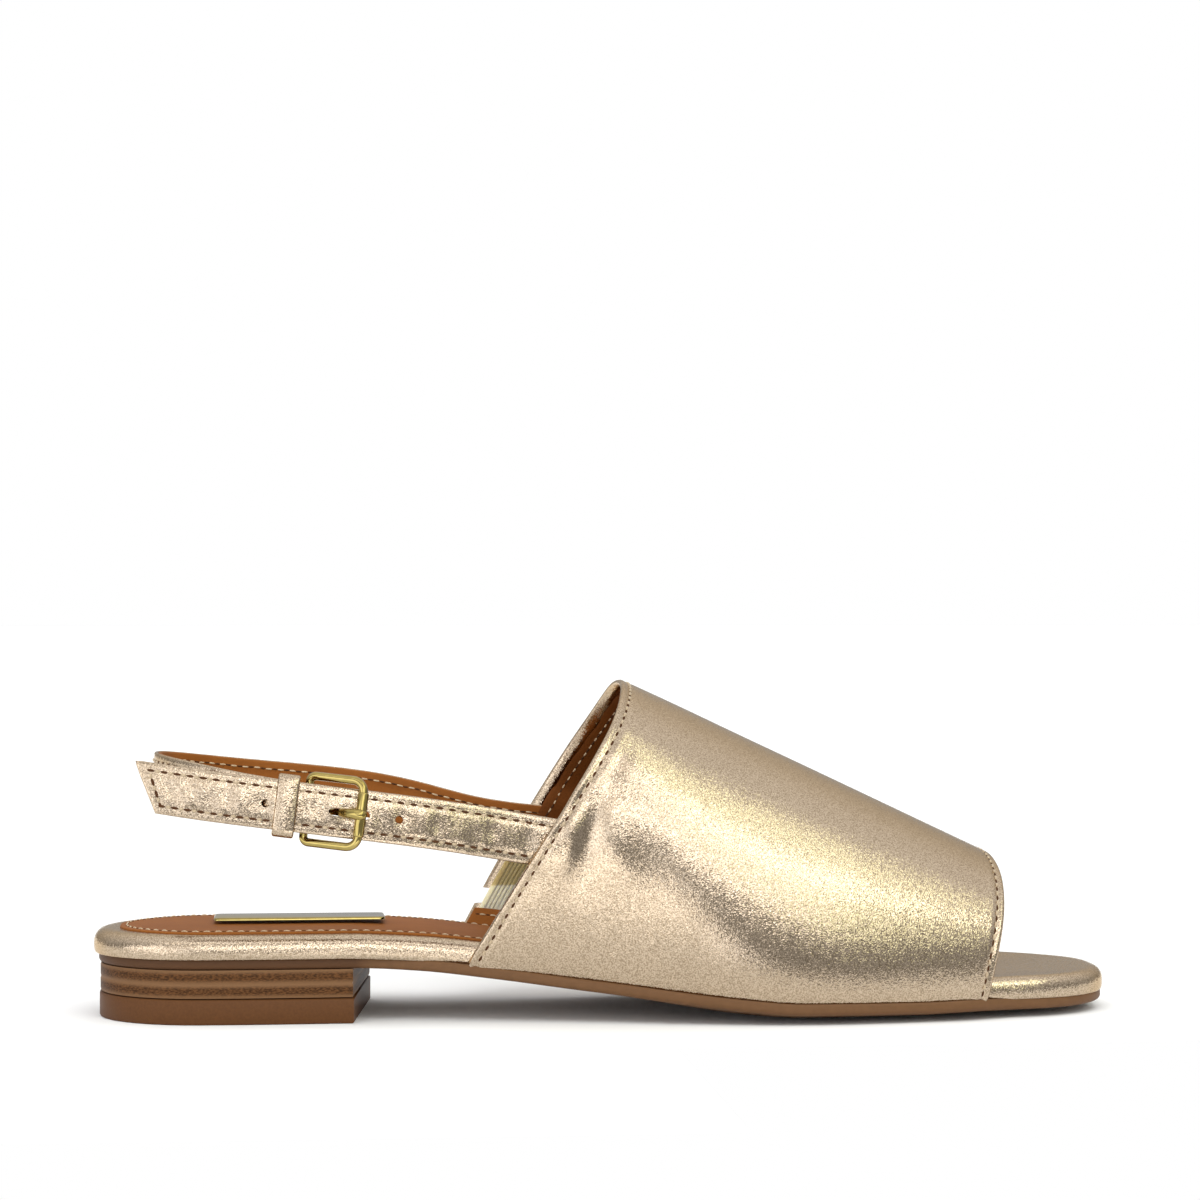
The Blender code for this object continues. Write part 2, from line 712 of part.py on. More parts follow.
def strap_holes(frame):
    """Punches for the row of strap holes, one of them under the prong."""
    punches = []
    for place in HOLE_PLACES:
        hole = StrapFrame(frame.origin[0] + PRONG_HOLE_ALONG + place * HOLE_PITCH)
        ends = hole.place(((0, 0, -PUNCH_DEPTH), (0, 0, PUNCH_DEPTH)))
        punches.append(sweep(ends, np.array((hole.up, hole.up)), [round_profile(HOLE_RADIUS)] * 2))
    return punches


def chape_points(frame):
    """End of the heel strap: over the back bar, round it and back along the inside."""
    lead = [(BACK_BAR_ALONG - FOLD_LEAD, 0.0, BACK_BAR_OUT + CHAPE_BEND)]
    bend = [
        (BACK_BAR_ALONG + CHAPE_BEND * math.cos(turn), 0.0, BACK_BAR_OUT + CHAPE_BEND * math.sin(turn))
        for turn in np.linspace(math.pi / 2, -math.pi / 2, CHAPE_STEPS)
    ]
    lap = [(BACK_BAR_ALONG - behind, 0.0, out) for behind, out in LAP]
    return frame.place(lead + bend + lap)


def heel_strap_solid(frame):
    """Strap round the heel from the vamp's inner side to its fold over the buckle's back bar."""
    fold = chape_points(frame)
    run = route(np.vstack((HEEL_ROUTE, fold[:1])), HEEL_STRAP_STEPS)
    across = upright(tangents(np.vstack((run, fold[1:]))))
    across[len(run) - 1:] = frame.up
    left = np.linalg.norm(run - run[-1], axis=1)
    skived = 1 - np.clip((left - SKIVE_START) / SKIVE_LENGTH, 0, 1)
    thick = HEEL_STRAP_THICK + (CHAPE_THICK - HEEL_STRAP_THICK) * skived
    outward = np.cross(tangents(run), across[:len(run)])
    run = run - outward * ((thick - CHAPE_THICK) / 2)[:, None]
    profiles = [band_profile(STRAP_WIDTH, t) for t in thick]
    profiles += [band_profile(STRAP_WIDTH, CHAPE_THICK)] * (len(fold) - 1)
    return sweep(np.vstack((run, fold[1:])), across, profiles)


def prong_slot_solid(frame):
    """Cutter for the slot in the fold, which lets the prong's eye onto the bar."""
    alongs = (BACK_BAR_ALONG - EYE_OUTER - GAP, BACK_BAR_ALONG + PRONG_SLOT_REACH)
    ups = (-PRONG_SLOT_WIDE / 2, PRONG_SLOT_WIDE / 2)
    outs = (BACK_BAR_OUT - PRONG_SLOT_REACH, BACK_BAR_OUT + PRONG_SLOT_REACH)
    return frame.place([(a, u, o) for a in alongs for u in ups for o in outs]), BOX_FACES


def rounded_loop(long, tall, corner):
    """Rounded rectangle, as (first, second) pairs round its middle."""
    loop = []
    for quarter, (sx, sy) in enumerate(((1, 1), (-1, 1), (-1, -1), (1, -1))):
        for turn in np.linspace(0, math.pi / 2, CORNER_STEPS):
            angle = turn + quarter * math.pi / 2
            loop.append((
                sx * (long / 2 - corner) + corner * math.cos(angle),
                sy * (tall / 2 - corner) + corner * math.sin(angle),
            ))
    return np.array(loop)


def buckle_frame_solid(frame):
    """Rounded rectangular frame, tilted so that the strap passes under its front bar."""
    loop = rounded_loop(BUCKLE_SPAN, BUCKLE_TALL, BUCKLE_CORNER)
    share = loop[:, 0] / BUCKLE_SPAN + 0.5
    out = BACK_BAR_OUT + (FRONT_BAR_OUT - BACK_BAR_OUT) * share
    points = frame.place(np.column_stack((loop, out)))
    along = tangents(points, closed=True)
    tilt = np.array((BUCKLE_SPAN, 0.0, FRONT_BAR_OUT - BACK_BAR_OUT))
    face = np.cross(frame.place(tilt)[0] - frame.origin, frame.up)
    face /= np.linalg.norm(face)
    across = face - along * (along @ face)[:, None]
    across /= np.linalg.norm(across, axis=1)[:, None]
    widen = 1 + FRONT_BAR_WIDEN * share**6
    profiles = [round_profile(BAR_RADIUS, BUCKLE_SIDES) * (1.0, wide) for wide in widen]
    return sweep(points, across, profiles, closed=True)


def prong_rod_solid(frame):
    """Prong from its eye under the strap, up through the hole and over the front bar."""
    points = frame.place([(along, 0.0, out) for along, out, _ in PRONG])
    profiles = [round_profile(radius, BUCKLE_SIDES) for _, _, radius in PRONG]
    return sweep(points, np.tile(frame.up, (len(points), 1)), profiles)


def prong_eye_solid(frame):
    """Eye of the prong, a ring that turns on the back bar."""
    middle, wall, half = (EYE_INNER + EYE_OUTER) / 2, EYE_OUTER - EYE_INNER, EYE_WIDE / 2
    points = frame.place([
        (BACK_BAR_ALONG + middle * math.cos(turn), 0.0, BACK_BAR_OUT + middle * math.sin(turn))
        for turn in np.linspace(0, 2 * math.pi, EYE_STEPS, endpoint=False)
    ])
    profile = np.array(((half, wall / 2), (half, -wall / 2), (-half, -wall / 2), (-half, wall / 2)))
    return sweep(points, np.tile(frame.up, (len(points), 1)), [profile] * len(points), closed=True)


def keeper_solid(frame):
    """Leather loop that holds the strap's tip to the heel strap."""
    outer_face = LATERAL_THICK / 2 + GAP + KEEPER_THICK / 2
    inner_face = BACK_BAR_OUT - CHAPE_BEND - CHAPE_THICK / 2 - GAP - KEEPER_THICK / 2
    tall = STRAP_WIDTH + 2 * GAP + KEEPER_THICK
    loop = rounded_loop(outer_face - inner_face, tall, KEEPER_CORNER)
    middle = (outer_face + inner_face) / 2
    points = frame.place([(KEEPER_ALONG, up, out + middle) for out, up in loop])
    across = np.tile(frame.along, (len(points), 1))
    return sweep(points, across, [band_profile(KEEPER_WIDE, KEEPER_THICK)] * len(points), closed=True)


def plate_solid():
    """Thin blank plate on the sock."""
    loop = rounded_loop(*PLATE_SIZE, PLATE_CORNER) + np.array(PLATE_CENTRE)
    base = HEEL_SEAT + SOCK_BASE + SOCK_THICK + GAP
    size = len(loop)
    points = [(x, y, base + rise) for rise in (0.0, PLATE_THICK) for x, y in loop]
    faces = [tuple(range(size)), tuple(range(size, 2 * size))]
    faces += [(i, (i + 1) % size, size + (i + 1) % size, size + i) for i in range(size)]
    return points, faces


def main():
    """Build every piece of the sandal."""
    clear_scene()
    sandal = bpy.data.objects.new("sandal", None)
    bpy.context.scene.collection.objects.link(sandal)
    buckle = StrapFrame(BUCKLE_X)

    add_solid("outsole", outsole_solid(), "outsole_resin", sandal)
    add_solid("heel_stack", heel_stack_solid(), "stacked_fibre", sandal)
    add_solid("heel_lift", heel_lift_solid(), "lift_rubber", sandal)
    add_solid("footbed", footbed_solid(), "foil_leather", sandal)
    add_solid("insole_sock", sock_solid(), "lining_leather", sandal)
    add_solid("sock_plate", plate_solid(), "brass", sandal)

    upper = add_solid("upper", upper_solid(), "foil_leather", sandal)
    cut(upper, "gore_slit", [slit_solid()], sandal)
    add_solid("elastic_gore", gore_solid(), "elastic_web", sandal)

    strap = add_solid("lateral_strap", lateral_strap_solid(), "foil_leather", sandal)
    cut(strap, "strap_holes", strap_holes(buckle), sandal)
    heel_strap = add_solid("heel_strap", heel_strap_solid(buckle), "foil_leather", sandal)
    cut(heel_strap, "prong_slot", [prong_slot_solid(buckle)], sandal)
    add_solid("strap_keeper", keeper_solid(buckle), "foil_leather", sandal)
    add_solid("buckle_frame", buckle_frame_solid(buckle), "brass", sandal)
    prong = add_solid("buckle_prong", prong_rod_solid(buckle), "brass", sandal)
    cut(prong, "prong_eye", [prong_eye_solid(buckle)], sandal, "UNION")


main()
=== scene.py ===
"""Peep-toe sling-back sandal in gold foil leather, right foot: the looks of its pieces.

Sizes are in millimetres: x runs forward from the back of the heel, y to the inner (medial)
side and z up from the floor. add_piece() turns them into the frame's metres.
"""

import logging
import math
from dataclasses import dataclass, field
from enum import Enum
from typing import Sequence

import bmesh
import bpy
import numpy as np
from mathutils import Euler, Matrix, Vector


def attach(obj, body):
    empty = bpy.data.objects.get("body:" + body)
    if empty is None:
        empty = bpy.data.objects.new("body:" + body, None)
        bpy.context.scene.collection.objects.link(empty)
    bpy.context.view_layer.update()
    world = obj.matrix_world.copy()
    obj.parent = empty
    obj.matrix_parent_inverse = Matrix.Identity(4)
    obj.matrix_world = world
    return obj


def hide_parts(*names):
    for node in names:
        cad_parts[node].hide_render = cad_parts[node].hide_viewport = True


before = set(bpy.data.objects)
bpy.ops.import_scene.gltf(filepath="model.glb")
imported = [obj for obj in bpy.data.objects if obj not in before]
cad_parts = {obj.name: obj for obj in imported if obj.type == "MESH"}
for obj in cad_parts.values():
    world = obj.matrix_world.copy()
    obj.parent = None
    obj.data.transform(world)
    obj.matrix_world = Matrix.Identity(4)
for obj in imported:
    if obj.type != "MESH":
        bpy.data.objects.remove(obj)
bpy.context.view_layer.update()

LOG = logging.getLogger("sandal")
MM = 0.001
HEEL_CENTRE_X = 33.0  # x of the frame's origin
SMOOTH_ANGLE = math.radians(45)
UP = np.array((0.0, 0.0, 1.0))

Rows = tuple[tuple[float, ...], ...]
Tree = bpy.types.NodeTree
Node = bpy.types.Node
Socket = bpy.types.NodeSocket


class Side(Enum):
    """The two sides of a right shoe, with the sign of their y."""

    LATERAL = -1
    MEDIAL = 1


class Bend(Enum):
    """How a curve runs between the rows of its table."""

    SMOOTH = "natural cubic"
    STEADY = "cubic that never overshoots its rows"


class Slot(Enum):
    """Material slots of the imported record."""

    FOIL = "foil_leather"
    LINING = "lining_leather"
    OUTSOLE = "outsole_resin"
    STACK = "stacked_fibre"
    LIFT = "lift_rubber"
    ELASTIC = "elastic_web"
    BRASS = "brass"


# Curves and grids


class Curve:
    """Line through the rows of a table, read at any place along it."""

    def __init__(self, knots: Sequence[float], values: Sequence[float], bend: Bend = Bend.SMOOTH) -> None:
        """Work out the slope at each row.

        Args:
            knots: places of the rows, rising.
            values: what the line holds at each row.
            bend: how it runs between them.
        """
        self.knots = np.asarray(knots, float)
        self.values = np.asarray(values, float)
        self.lean = self._smooth_lean() if bend is Bend.SMOOTH else self._steady_lean()

    def _smooth_lean(self) -> np.ndarray:
        """Slopes of the natural cubic.

        Returns:
            One slope per row.
        """
        gap, rise = np.diff(self.knots), np.diff(self.values)
        count = len(self.knots)
        matrix, right = np.eye(count), np.zeros(count)
        for i in range(1, count - 1):
            matrix[i, i - 1:i + 2] = gap[i - 1], 2 * (gap[i - 1] + gap[i]), gap[i]
            right[i] = 6 * (rise[i] / gap[i] - rise[i - 1] / gap[i - 1])
        bend = np.linalg.solve(matrix, right)
        lean = rise / gap - gap * (2 * bend[:-1] + bend[1:]) / 6
        last = rise[-1] / gap[-1] + gap[-1] * (bend[-2] + 2 * bend[-1]) / 6
        return np.append(lean, last)

    def _steady_lean(self) -> np.ndarray:
        """Slopes that keep flat stretches flat.

        Returns:
            One slope per row.
        """
        slope = np.diff(self.values) / np.diff(self.knots)
        lean = np.zeros(len(self.knots))
        lean[0], lean[-1] = slope[0], slope[-1]
        for i in range(1, len(slope)):
            if slope[i - 1] * slope[i] > 0:
                lean[i] = 2 * slope[i - 1] * slope[i] / (slope[i - 1] + slope[i])
        return lean

    def at(self, place: np.ndarray | float) -> np.ndarray:
        """Read the line.

        Args:
            place: one place or an array of them; outside the table the end row holds.

        Returns:
            The line's values there.
        """
        place = np.clip(place, self.knots[0], self.knots[-1])
        i = np.clip(np.searchsorted(self.knots, place) - 1, 0, len(self.knots) - 2)
        gap = self.knots[i + 1] - self.knots[i]
        t = (place - self.knots[i]) / gap
        level = self.values[i] * (1 + 2 * t) * (1 - t)**2 + self.values[i + 1] * t**2 * (3 - 2 * t)
        return level + gap * (self.lean[i] * t * (1 - t)**2 - self.lean[i + 1] * t**2 * (1 - t))


def unit(vectors: np.ndarray) -> np.ndarray:
    """The vectors, each made one long."""
    return vectors / np.maximum(np.linalg.norm(vectors, axis=-1, keepdims=True), 1e-12)


def each(value: np.ndarray, count: int) -> np.ndarray:
    """The same direction or outline for each of a number of points."""
    return np.broadcast_to(value, (count, *value.shape))


def soft_step(value: np.ndarray, low: float, high: float) -> np.ndarray:
    """0 below low, 1 above high and a smooth rise between.

    Args:
        value: what is tested.
        low: where the rise starts.
        high: where it ends.

    Returns:
        The share for each value.
    """
    t = np.clip((value - low) / (high - low), 0, 1)
    return t * t * (3 - 2 * t)


def run_of(line: np.ndarray) -> np.ndarray:
    """Distance of each point of a line from its first point, along the line."""
    return np.append(0, np.cumsum(np.linalg.norm(np.diff(line, axis=0), axis=1)))


def round_run(loop: np.ndarray) -> np.ndarray:
    """Unit directions along a closed line of points."""
    return unit(np.roll(loop, -1, axis=0) - np.roll(loop, 1, axis=0))


def spread(line: np.ndarray, places: np.ndarray, values: np.ndarray | None = None) -> np.ndarray:
    """What a line holds at given distances along it.

    Args:
        line: its points.
        places: the distances.
        values: a vector for each point, or None for the points themselves.

    Returns:
        One vector per distance.
    """
    run, held = run_of(line), line if values is None else values
    return np.column_stack([np.interp(places, run, held[:, axis]) for axis in range(3)])


def grid_inward(grid: np.ndarray) -> np.ndarray:
    """Unit normals of a grid: its row direction crossed with its column direction."""
    return unit(np.cross(np.gradient(grid, axis=0), np.gradient(grid, axis=1)))


def grid_faces(ids: np.ndarray) -> np.ndarray:
    """Quads between neighbouring rows and columns of vertex numbers."""
    return np.stack((ids[:-1, :-1], ids[1:, :-1], ids[1:, 1:], ids[:-1, 1:]), axis=-1).reshape(-1, 4)


def tube_faces(ids: np.ndarray) -> np.ndarray:
    """Quads of a tube, from one row of vertex numbers for each of its rings."""
    return grid_faces(np.hstack((ids, ids[:, :1])))


@dataclass
class Shape:
    """Points and faces of one or more closed forms that make one piece."""

    points: list[np.ndarray] = field(default_factory=list)
    faces: list[tuple[int, ...]] = field(default_factory=list)
    count: int = 0

    def add(self, points: np.ndarray, faces: Sequence[Sequence[int]]) -> "Shape":
        """Join one more form.

        Args:
            points: its points, in millimetres.
            faces: its faces, numbered from its own first point.

        Returns:
            This shape.
        """
        points = np.asarray(points, float).reshape(-1, 3)
        self.faces += [tuple(int(i) + self.count for i in face) for face in faces]
        self.points.append(points)
        self.count += len(points)
        return self

    def join(self, other: "Shape") -> "Shape":
        """Take in all of another shape."""
        return self.add(np.vstack(other.points), other.faces)


def rolled_sheet(outer: np.ndarray, thick: float | np.ndarray, steps: int = 6) -> Shape:
    """A closed sheet of leather: its outer face, its edges turned round, and its inner face.

    Args:
        outer: grid of points of the outer face, whose rows cross columns point inward.
        thick: thickness of the sheet, one for all or one for each column.
        steps: faces round the turned edge.

    Returns:
        The sheet.
    """
    rows, columns, _ = outer.shape
    inward = grid_inward(outer)
    away = np.zeros_like(outer)
    away[0] += unit(outer[0] - outer[1])
    away[-1] += unit(outer[-1] - outer[-2])
    away[:, 0] += unit(outer[:, 0] - outer[:, 1])
    away[:, -1] += unit(outer[:, -1] - outer[:, -2])
    ids = np.arange(rows * columns).reshape(rows, columns)
    border = np.concatenate((ids[0], ids[1:, -1], ids[-1, -2::-1], ids[-2:0:-1, 0]))
    edge, normal, off = (a.reshape(-1, 3)[border] for a in (outer, inward, away))
    depth = np.broadcast_to(thick, (rows, columns))[..., None]
    radius = depth.reshape(-1, 1)[border] / 2
    off = unit(off - normal * (off * normal).sum(axis=1)[:, None])
    rings, ring_ids = [], [border]
    for turn in np.linspace(0, math.pi, steps + 1)[1:-1]:
        rings.append(edge + (off * math.sin(turn) + normal * (1 - math.cos(turn))) * radius)
        ring_ids.append(2 * rows * columns + (len(rings) - 1) * len(border) + np.arange(len(border)))
    ring_ids.append(border + rows * columns)
    points = np.vstack((outer.reshape(-1, 3), (outer + inward * depth).reshape(-1, 3), *rings))
    faces = (grid_faces(ids), grid_faces(ids + rows * columns), tube_faces(np.array(ring_ids)))
    return Shape().add(points, np.vstack(faces))


def swept(
    centres: np.ndarray, across: np.ndarray, out: np.ndarray, profiles: np.ndarray, closed: bool,
) -> Shape:
    """A bar or band swept along a line.

    Args:
        centres: points of the line.
        across: direction of each profile's first column, one per point.
        out: direction of its second column, one per point.
        profiles: one outline per point, as (points, 2).
        closed: whether the line runs into itself.

    Returns:
        The closed form.
    """
    rings = centres[:, None] + profiles[..., :1] * across[:, None] + profiles[..., 1:] * out[:, None]
    count, size, _ = rings.shape
    ids = np.arange(count * size).reshape(count, size)
    if closed:
        return Shape().add(rings, tube_faces(np.vstack((ids, ids[:1]))))
    return Shape().add(rings, [*tube_faces(ids), ids[0], ids[-1]])


def round_outline(across: float, out: float, sides: int = 20) -> np.ndarray:
    """Ellipse with these two half widths."""
    turn = np.linspace(0, 2 * math.pi, sides, endpoint=False)
    return np.column_stack((across * np.cos(turn), out * np.sin(turn)))


def rounded_box_outline(wide: float, tall: float, corner: float, steps: int = 5) -> np.ndarray:
    """Rectangle with round corners.

    Args:
        wide: full width along the first column.
        tall: full height along the second.
        corner: radius of the corners.
        steps: points round each corner.

    Returns:
        The outline's points, in turn.
    """
    points = []
    for quarter, (sx, sy) in enumerate(((1, 1), (-1, 1), (-1, -1), (1, -1))):
        for turn in np.linspace(0, math.pi / 2, steps) + quarter * math.pi / 2:
            x = sx * (wide / 2 - corner) + corner * math.cos(turn)
            points.append((x, sy * (tall / 2 - corner) + corner * math.sin(turn)))
    return np.array(points)


# Materials


def linear(code: str) -> tuple[float, float, float, float]:
    """A colour from its sRGB hex code.

    Args:
        code: six hex digits.

    Returns:
        Linear red, green, blue and an alpha of 1.
    """
    shares = (int(code[i:i + 2], 16) / 255 for i in (0, 2, 4))
    return (*(s / 12.92 if s <= 0.04045 else ((s + 0.055) / 1.055)**2.4 for s in shares), 1.0)


def per_mm(size: float) -> float:
    """Scale of a texture whose features are this many millimetres apart."""
    return 1 / (size * MM)


def feed(tree: Tree, node: Node, inputs: dict) -> None:
    """Set or link some inputs of a node.

    Args:
        tree: the material's or world's nodes.
        node: one of them.
        inputs: for each input's name or number, a value or the socket that feeds it.
    """
    for key, value in inputs.items():
        if isinstance(value, Socket):
            tree.links.new(value, node.inputs[key])
        else:
            node.inputs[key].default_value = value


def add_node(tree: Tree, kind: str, inputs: dict | None = None, **settings: object) -> Node:
    """Add a shader node with its settings and links.

    Args:
        tree: the material's or world's nodes.
        kind: the node's type.
        inputs: what its inputs are set to or linked with; see feed.
        settings: the node's own properties.

    Returns:
        The node.
    """
    node = tree.nodes.new(kind)
    for name, value in settings.items():
        setattr(node, name, value)
    feed(tree, node, inputs or {})
    return node


@dataclass
class Coat:
    """What a finish lays on its shader."""

    layers: list[tuple[Socket, str]]  # how much of a colour shows over those before it
    height: Socket | None = None  # relief, from 0 to 1
    inputs: dict[str, object] = field(default_factory=dict)  # the shader's other inputs


@dataclass(frozen=True)
class Finish:
    """A surface, made into a material the first time that a piece asks for it."""

    name: str
    colour: str
    deep: str  # second colour: painted shade in the hollows of the foil's grain; elsewhere specks or cloudy dye
    rough: float
    gloss: float = 0.5  # how strongly a surface that isn't metal shines
    relief_mm: float = 0.05
    relief_share: float = 0.5

    def material(self) -> bpy.types.Material:
        """The finish as a material.

        Returns:
            The one material of this name.
        """
        found = bpy.data.materials.get(self.name)
        if found:
            return found
        made = bpy.data.materials.new(self.name)
        made.use_nodes = True
        made.diffuse_color = linear(self.colour)
        tree = made.node_tree
        coat = self.dress(tree, add_node(tree, "ShaderNodeTexCoord").outputs["Object"])
        colour = linear(self.colour)
        for share, over in coat.layers:
            colours = {0: share, 6: colour, 7: linear(over)}
            colour = add_node(tree, "ShaderNodeMix", colours, data_type="RGBA").outputs[2]
        inputs = {"Base Color": colour, "Roughness": self.rough, "Specular IOR Level": self.gloss}
        if coat.height is not None:
            relief = {"Strength": self.relief_share, "Distance": self.relief_mm * MM, "Height": coat.height}
            inputs["Normal"] = add_node(tree, "ShaderNodeBump", relief).outputs["Normal"]
        feed(tree, tree.nodes["Principled BSDF"], inputs | coat.inputs)
        return made

    def dress(self, tree: Tree, where: Socket) -> Coat:
        """Draw the surface's patterns; each kind of finish has its own.

        Args:
            tree: the material's nodes.
            where: the place on the object, in metres.

        Returns:
            What the patterns put on the shader.
        """
        raise NotImplementedError


@dataclass(frozen=True)
class FoilLeather(Finish):
    """Split leather with a hot-pressed metal foil: a soft mirror, broken up by a fine pebble grain."""

    edge_tint: str = "F4E4CE"
    grain_mm: float = 0.34
    grain_deep_mm: float = 0.058
    painted_hollow_shade: tuple[float, float] = (0.6, 0.36)  # heights of the grain between which the deep colour comes in, painted shade in the grain's hollows
    # the foil's own flakes are finer; they are drawn as coarse as they need to be to sparkle
    flake_mm: float = 0.4
    flake_tilt: float = 0.12

    def dress(self, tree: Tree, where: Socket) -> Coat:
        """Metal foil whose grain and flakes scatter highlights into sparkle, with painted shade in the
        grain's hollows; see Finish.dress.
        """
        grain = add_node(
            tree, "ShaderNodeTexNoise", {"Vector": where, "Scale": per_mm(self.grain_mm), "Detail": 1.0},
        ).outputs["Fac"]
        relief = {"Distance": self.grain_deep_mm * MM, "Height": grain}
        bent = add_node(tree, "ShaderNodeBump", relief).outputs["Normal"]
        lean = add_node(
            tree, "ShaderNodeTexVoronoi", {"Vector": where, "Scale": per_mm(self.flake_mm)},
        ).outputs["Color"]
        for operation, inputs in (
            ("SUBTRACT", {1: (0.5, 0.5, 0.5)}), ("SCALE", {"Scale": self.flake_tilt}),
            ("ADD", {1: bent}), ("NORMALIZE", {}),
        ):
            lean = add_node(tree, "ShaderNodeVectorMath", {0: lean, **inputs}, operation=operation).outputs[0]
        # the deep colour in the grain's hollows is painted shade
        low, high = self.painted_hollow_shade
        painted_hollow_shade = add_node(
            tree, "ShaderNodeMapRange", {"Value": grain, "From Min": low, "From Max": high},
        ).outputs["Result"]
        inputs = {"Normal": lean, "Specular Tint": linear(self.edge_tint), "Metallic": 1.0}
        return Coat([(painted_hollow_shade, self.deep)], inputs=inputs)


@dataclass(frozen=True)
class SmoothLeather(Finish):
    """Aniline-dyed lining leather: soft satin with fine pores and cloudy dye."""

    gloss: float = 0.08
    relief_mm: float = 0.04
    relief_share: float = 0.7
    cloud_mm: float = 9.0
    pore_mm: float = 0.55

    def dress(self, tree: Tree, where: Socket) -> Coat:
        """Satin leather whose dye is a little uneven; see Finish.dress."""
        cloud = add_node(
            tree, "ShaderNodeTexNoise", {"Vector": where, "Scale": per_mm(self.cloud_mm), "Detail": 4.0},
        ).outputs["Fac"]
        pores = add_node(
            tree, "ShaderNodeTexVoronoi", {"Vector": where, "Scale": per_mm(self.pore_mm)},
        ).outputs["Distance"]
        return Coat([(cloud, self.deep)], pores)


@dataclass(frozen=True)
class StackedFibre(Finish):
    """Pressed leather-board layers: dark and speckled, with a pale line where two layers meet."""

    gloss: float = 0.1
    relief_mm: float = 0.06
    relief_share: float = 0.6
    speck_mm: float = 0.3
    speck_stretch: tuple[float, float, float] = (0.4, 0.4, 1.0)
    speck: tuple[float, float] = (0.36, 0.62)  # strengths of the noise between which the deep colour comes in
    joint: str = "7A5A3E"
    joint_share: float = 0.85
    joint_mm: tuple[float, float] = (1.3, 0.1)  # distances from a joint over which its line comes in
    low_mm: float = 6.5
    layer_mm: float = 3.45

    def dress(self, tree: Tree, where: Socket) -> Coat:
        """Specks drawn out along the heel between pale joints; see Finish.dress."""
        drawn = add_node(tree, "ShaderNodeMapping", {"Vector": where, "Scale": self.speck_stretch}).outputs[0]
        speck = add_node(
            tree, "ShaderNodeTexNoise", {"Vector": drawn, "Scale": per_mm(self.speck_mm), "Detail": 2.0},
        ).outputs["Fac"]
        low, high = self.speck
        dark = add_node(
            tree, "ShaderNodeMapRange", {"Value": speck, "From Min": low, "From Max": high},
        ).outputs["Result"]
        rise = add_node(tree, "ShaderNodeSeparateXYZ", {"Vector": where}).outputs["Z"]
        for operation, size in (("SUBTRACT", self.low_mm), ("PINGPONG", self.layer_mm / 2)):
            rise = add_node(tree, "ShaderNodeMath", {0: rise, 1: size * MM}, operation=operation).outputs[0]
        far, near = self.joint_mm
        limits = {"Value": rise, "From Min": far * MM, "From Max": near * MM, "To Max": self.joint_share}
        line = add_node(tree, "ShaderNodeMapRange", limits, interpolation_type="SMOOTHSTEP").outputs["Result"]
        return Coat([(dark, self.deep), (line, self.joint)], speck)


@dataclass(frozen=True)
class MouldedRubber(Finish):
    """Moulded thermoplastic rubber: an even brown with a faint satin mottle."""

    gloss: float = 0.15
    mottle_mm: float = 1.6
    # under the heel the sole's edge is stained to match the block
    stain: str = ""
    stain_mm: tuple[float, float] = (36.0, 32.0)  # x between which it comes in, from the heel's centre

    def dress(self, tree: Tree, where: Socket) -> Coat:
        """Even colour and a fine moulded texture; see Finish.dress."""
        mottle = add_node(
            tree, "ShaderNodeTexNoise", {"Vector": where, "Scale": per_mm(self.mottle_mm), "Detail": 4.0},
        ).outputs["Fac"]
        layers = [(mottle, self.deep)]
        if self.stain:
            forward = add_node(tree, "ShaderNodeSeparateXYZ", {"Vector": where}).outputs["X"]
            start, end = self.stain_mm
            behind = add_node(
                tree, "ShaderNodeMapRange", {"Value": forward, "From Min": start * MM, "From Max": end * MM},
            ).outputs["Result"]
            layers.append((behind, self.stain))
        return Coat(layers, mottle)


@dataclass(frozen=True)
class PolishedBrass(Finish):
    """Die-cast zinc, polished and plated in pale brass: near-mirror with a slightly uneven polish."""

    relief_share: float = 0.25
    wave_mm: float = 2.2

    def dress(self, tree: Tree, where: Socket) -> Coat:
        """Bright plating that bends its reflections a little; see Finish.dress."""
        wave = add_node(
            tree, "ShaderNodeTexNoise", {"Vector": where, "Scale": per_mm(self.wave_mm), "Detail": 3.0},
        ).outputs["Fac"]
        return Coat([(wave, self.deep)], wave, {"Metallic": 1.0})


@dataclass(frozen=True)
class ElasticWeb(Finish):
    """Woven rubber-cored elastic: matte cords, thin enough to let light through."""

    relief_mm: float = 0.12
    relief_share: float = 0.8
    yarn_mm: float = 0.5
    # below this height a lighter colour is painted: painted backlight from the slit that lets light in behind
    # the web
    painted_backlight: str = "EFDFB6"
    painted_backlight_mm: tuple[float, float] = (29.2, 28.6)
    through: float = 0.8
    through_mm: float = 2.5
    through_tint: tuple[float, float, float] = (1.0, 0.9, 0.65)

    def dress(self, tree: Tree, where: Socket) -> Coat:
        """Matte yarn with a lighter colour at the slit, painted backlight where light is behind it; see
        Finish.dress.
        """
        yarn = add_node(
            tree, "ShaderNodeTexNoise", {"Vector": where, "Scale": per_mm(self.yarn_mm), "Detail": 2.0},
        ).outputs["Fac"]
        rise = add_node(tree, "ShaderNodeSeparateXYZ", {"Vector": where}).outputs["Z"]
        # the lighter colour below this height is painted backlight
        start, end = self.painted_backlight_mm
        under = add_node(
            tree, "ShaderNodeMapRange", {"Value": rise, "From Min": start * MM, "From Max": end * MM},
        ).outputs["Result"]
        inputs = {
            "Subsurface Weight": self.through, "Subsurface Radius": self.through_tint,
            "Subsurface Scale": self.through_mm * MM,
        }
        return Coat([(yarn, self.deep), (under, self.painted_backlight)], yarn, inputs)


